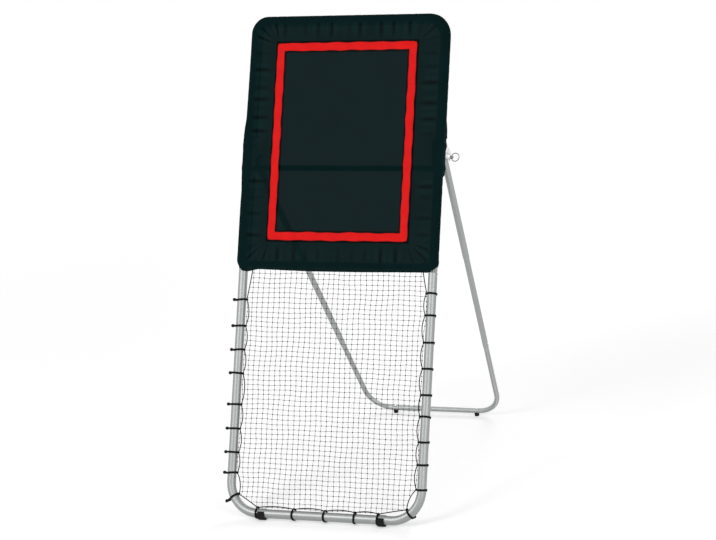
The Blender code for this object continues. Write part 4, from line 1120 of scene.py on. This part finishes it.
def tape_length(tape, number, start, end):
    """One side of the tape, with mitred ends and its edges pulled into a slight wave."""
    run = (end - start).normalized()
    out = Vector((run.y, -run.x, 0))
    length = (end - start).length
    count = round(length / TAPE_STEP)
    widths = 8
    front_rows = []
    back_rows = []
    for i in range(count + 1):
        t = i / count
        fade = sin(pi * t) ** 0.3 if 0 < t < 1 else 0.0
        edges = [fade * tape_edge(t * length, 2 * number + k) for k in (0, 1)]
        from_corner = min(t, 1 - t) * length
        corner_pull = TAPE_CORNER_PULL * exp(-((from_corner / TAPE_CORNER_SPREAD) ** 2))
        front_rows.append([])
        back_rows.append([])
        for k in range(widths + 1):
            share = k / widths
            s = (share - 0.5) * TAPE_WIDTH
            mitre = s * (2 * t - 1)
            pulled = edges[0] * (1 - share) + edges[1] * share
            at = start + run * (t * length + mitre) + out * (s + pulled)
            at -= (out + run * copysign(1, t - 0.5)) * corner_pull * share**3
            waves = 1 + sin(tau * t * length / 0.05)
            front = -COVER_RADIUS - 0.0008 - TAPE_THICK - 0.0006 * fade * sin(pi * share) * waves
            vector = (t * length + mitre, s, 0)
            front_rows[-1].append(tape.add(spot(at.x, at.y, front), vector))
            back_rows[-1].append(tape.add(spot(at.x, at.y, front + TAPE_THICK), vector))
    tape.join(front_rows, closed=False)
    tape.join(back_rows, closed=False, flip=True)
    for a, b, c, d in zip(front_rows, front_rows[1:], back_rows, back_rows[1:]):
        tape.faces.append((a[0], c[0], d[0], b[0]))
        tape.faces.append((a[-1], b[-1], d[-1], c[-1]))
    tape.bridge(back_rows[0], front_rows[0], closed=False)
    tape.bridge(front_rows[-1], back_rows[-1], closed=False)


def build_tape(red):
    """Red webbing sewn over the seam in four lengths."""
    inset = TAPE_WIDTH / 2
    corners = rectangle(TAPE_HALF_WIDTH - inset, TAPE_BOTTOM + inset, TAPE_TOP - inset)
    tape = Piece()
    for number, (start, end) in enumerate(zip(corners, corners[1:] + corners[:1])):
        tape_length(tape, number, start, end)
    return tape.make("red_tape_square", red, ["target_tape"], "cloth")


# Pull ring


def build_rings(steel):
    """Each pin's wire ring, a little out of round away from the pin."""
    for name, side in SIDES:
        pin = Vector(joints[f"{name}_ring_swing"]["pos_m"])
        sag = (RING_RADIUS - sqrt(RING_RADIUS**2 - PIN_HEAD_RADIUS**2)) / 2
        centre = pin + ACROSS * side * (RING_RADIUS - sag)
        steps = 48
        path = []
        for i in range(steps):
            a = tau * i / steps
            wobble = 1 + RING_UNEVEN * sin(2 * a + 0.6) * (1 - cos(a - pi)) / 2
            away = (ACROSS * side * cos(a) + UP_FRAME * sin(a)) * RING_RADIUS * wobble
            path.append(centre + away)
        ring = Piece()
        ring.sweep(path, RING_WIRE, 12, closed=True, normal=BEHIND)
        ring.make(f"pull_ring_{name}", steel, [f"pin_ring_{name}"], body=f"{name}_ring")


# Fittings, stage, light and camera


def dress_hardware(zinc, pin_steel, rubber, plastic):
    """Give the CAD's own small parts their finish."""
    plated = ("pivot_bracket", "bracket_bolt", "bracket_nut", "crossbar_bolt", "pivot_bolt", "pivot_nut",
              "pivot_sleeve", "bumper_screw", "snap_button_frame", "snap_button_upper_leg",
              "snap_button_lower_leg")
    bare = ((pin_steel, ("lock_pin",)), (rubber, ("front_foot", "base_bumper")), (plastic, ("leg_cap",)))
    for finish, parts in ((zinc, plated), *bare):
        for part in parts:
            for name, _ in SIDES:
                materials = frame["nodes"][f"{part}_{name}"].data.materials
                materials.clear()
                materials.append(finish)


def build_stage():
    """A pale floor that fades to white but keeps the shadow, under a world that shows white."""
    bpy.ops.mesh.primitive_plane_add(size=120)
    floor = bpy.context.object
    floor.name = "floor"
    lit = {"Specular_IOR_Level": 0.0, "Emission_Strength": 1.0}
    finish = Finish("pale_floor", grey(0.80), 0.9, **lit)
    place = finish.position()
    distance = finish.node("VectorMath", {"operation": "LENGTH"}, place, output="Value")
    far = distance.above(3.2, 1.6)
    finish.set("Base Color", finish.mix(far, grey(0.80), grey(0.0)))
    finish.set("Emission Color", finish.mix(far, grey(0.37), grey(1.0)))
    floor.data.materials.append(finish.material)

    world = bpy.data.worlds.new("studio")
    bpy.context.scene.world = world
    tree = Tree(world)
    rays = ("Is Camera Ray", "Is Glossy Ray", "Is Transmission Ray")
    camera, glossy, through = (tree.node("LightPath", {}, output=ray) for ray in rays)
    seen = camera.maths("MAXIMUM", glossy).maths("MAXIMUM", through)
    background = tree.nodes["Background"].inputs
    tree.plug(background["Strength"], seen * (1.0 - WORLD_LIGHT) + WORLD_LIGHT)
    tree.plug(background["Color"], (1.0, 1.0, 1.0, 1.0))


def soft_box(name, place, target, size, watts):
    light = bpy.data.lights.new(name, "AREA")
    light.shape = "RECTANGLE"
    light.size, light.size_y = size
    light.energy = watts
    lamp = new_object(name, light)
    lamp.location = place
    lamp.rotation_euler = (Vector(target) - Vector(place)).to_track_quat("-Z", "Y").to_euler()


def build_camera():
    yaw, pitch, roll = CAMERA_YAW, CAMERA_PITCH, CAMERA_ROLL
    forward = Vector((-sin(yaw) * cos(pitch), cos(yaw) * cos(pitch), -sin(pitch)))
    level = Vector((cos(yaw), sin(yaw), 0))
    upright = level.cross(forward)
    right = level * cos(roll) + upright * sin(roll)
    up = upright * cos(roll) - level * sin(roll)
    data = bpy.data.cameras.new("camera")
    data.sensor_fit = "HORIZONTAL"
    data.sensor_width = SENSOR_WIDTH
    data.lens = FOCAL_PIXELS * SENSOR_WIDTH / IMAGE_WIDTH
    data.clip_end = 100
    camera = new_object("camera", data)
    turn = Matrix((right, up, -forward)).transposed().to_4x4()
    camera.matrix_world = Matrix.Translation(CAMERA_FROM_BAR + Vector((0, BAR_Y, 0))) @ turn
    bpy.context.scene.camera = camera


def build():
    # The third number is the strength of the painted reflection bands.
    front_steel = galvanised("galvanised_front", 0.34, 0.90, 4.4)
    stand_steel = galvanised("galvanised_stand", 0.38, 0.30, 2.2)
    zinc = zinc_plate("zinc_plate_finish", (0.84, 0.85, 0.84), 0.30)
    pin_steel = zinc_plate("pin_steel_finish", grey(0.30), 0.40)
    border_cloth = cloth("border_cloth", (0.0012, 0.0084, 0.0087), (0.0027, 0.0138, 0.0146), 0.9966)
    sheet_cloth = cloth("sheet_cloth", (0.0008, 0.0082, 0.0088), (0.0016, 0.0108, 0.0122), 0.9935)
    cord_braid = braid("elastic_braid", grey(0.004), 0.006)
    twine = braid("twine_braid", grey(0.008), 0.003)
    rubber = moulded("rubber_moulding", grey(0.005), 0.68)
    plastic = moulded("plastic_moulding", grey(0.005), 0.42)

    build_camera()
    build_stage()
    soft_box("key", (-3.5, -6.0, 5.5), (0, 0, 1.0), (3.0, 3.0), KEY_WATTS)
    soft_box("fill", (5.0, -4.0, 3.0), (0, 0, 1.0), (3.0, 3.0), FILL_WATTS)
    soft_box("back", (1.0, 6.0, 5.0), (0, 0, 1.0), (4.0, 3.0), BACK_WATTS)

    build_front_tubes(front_steel)
    build_cross_tubes(stand_steel)
    build_stand_tubes(stand_steel)
    anchors = tie_anchors()
    line, sides = rope_outline(anchors)
    build_net(twine, line)
    build_lacing(cord_braid, plastic, anchors, line, sides)
    border = build_cover(border_cloth)
    target, flat = build_target_sheet(sheet_cloth)
    tape = build_tape(webbing())
    build_rings(pin_steel)
    dress_hardware(zinc, pin_steel, rubber, plastic)
    bpy.context.scene.view_settings.view_transform = "Standard"


build()
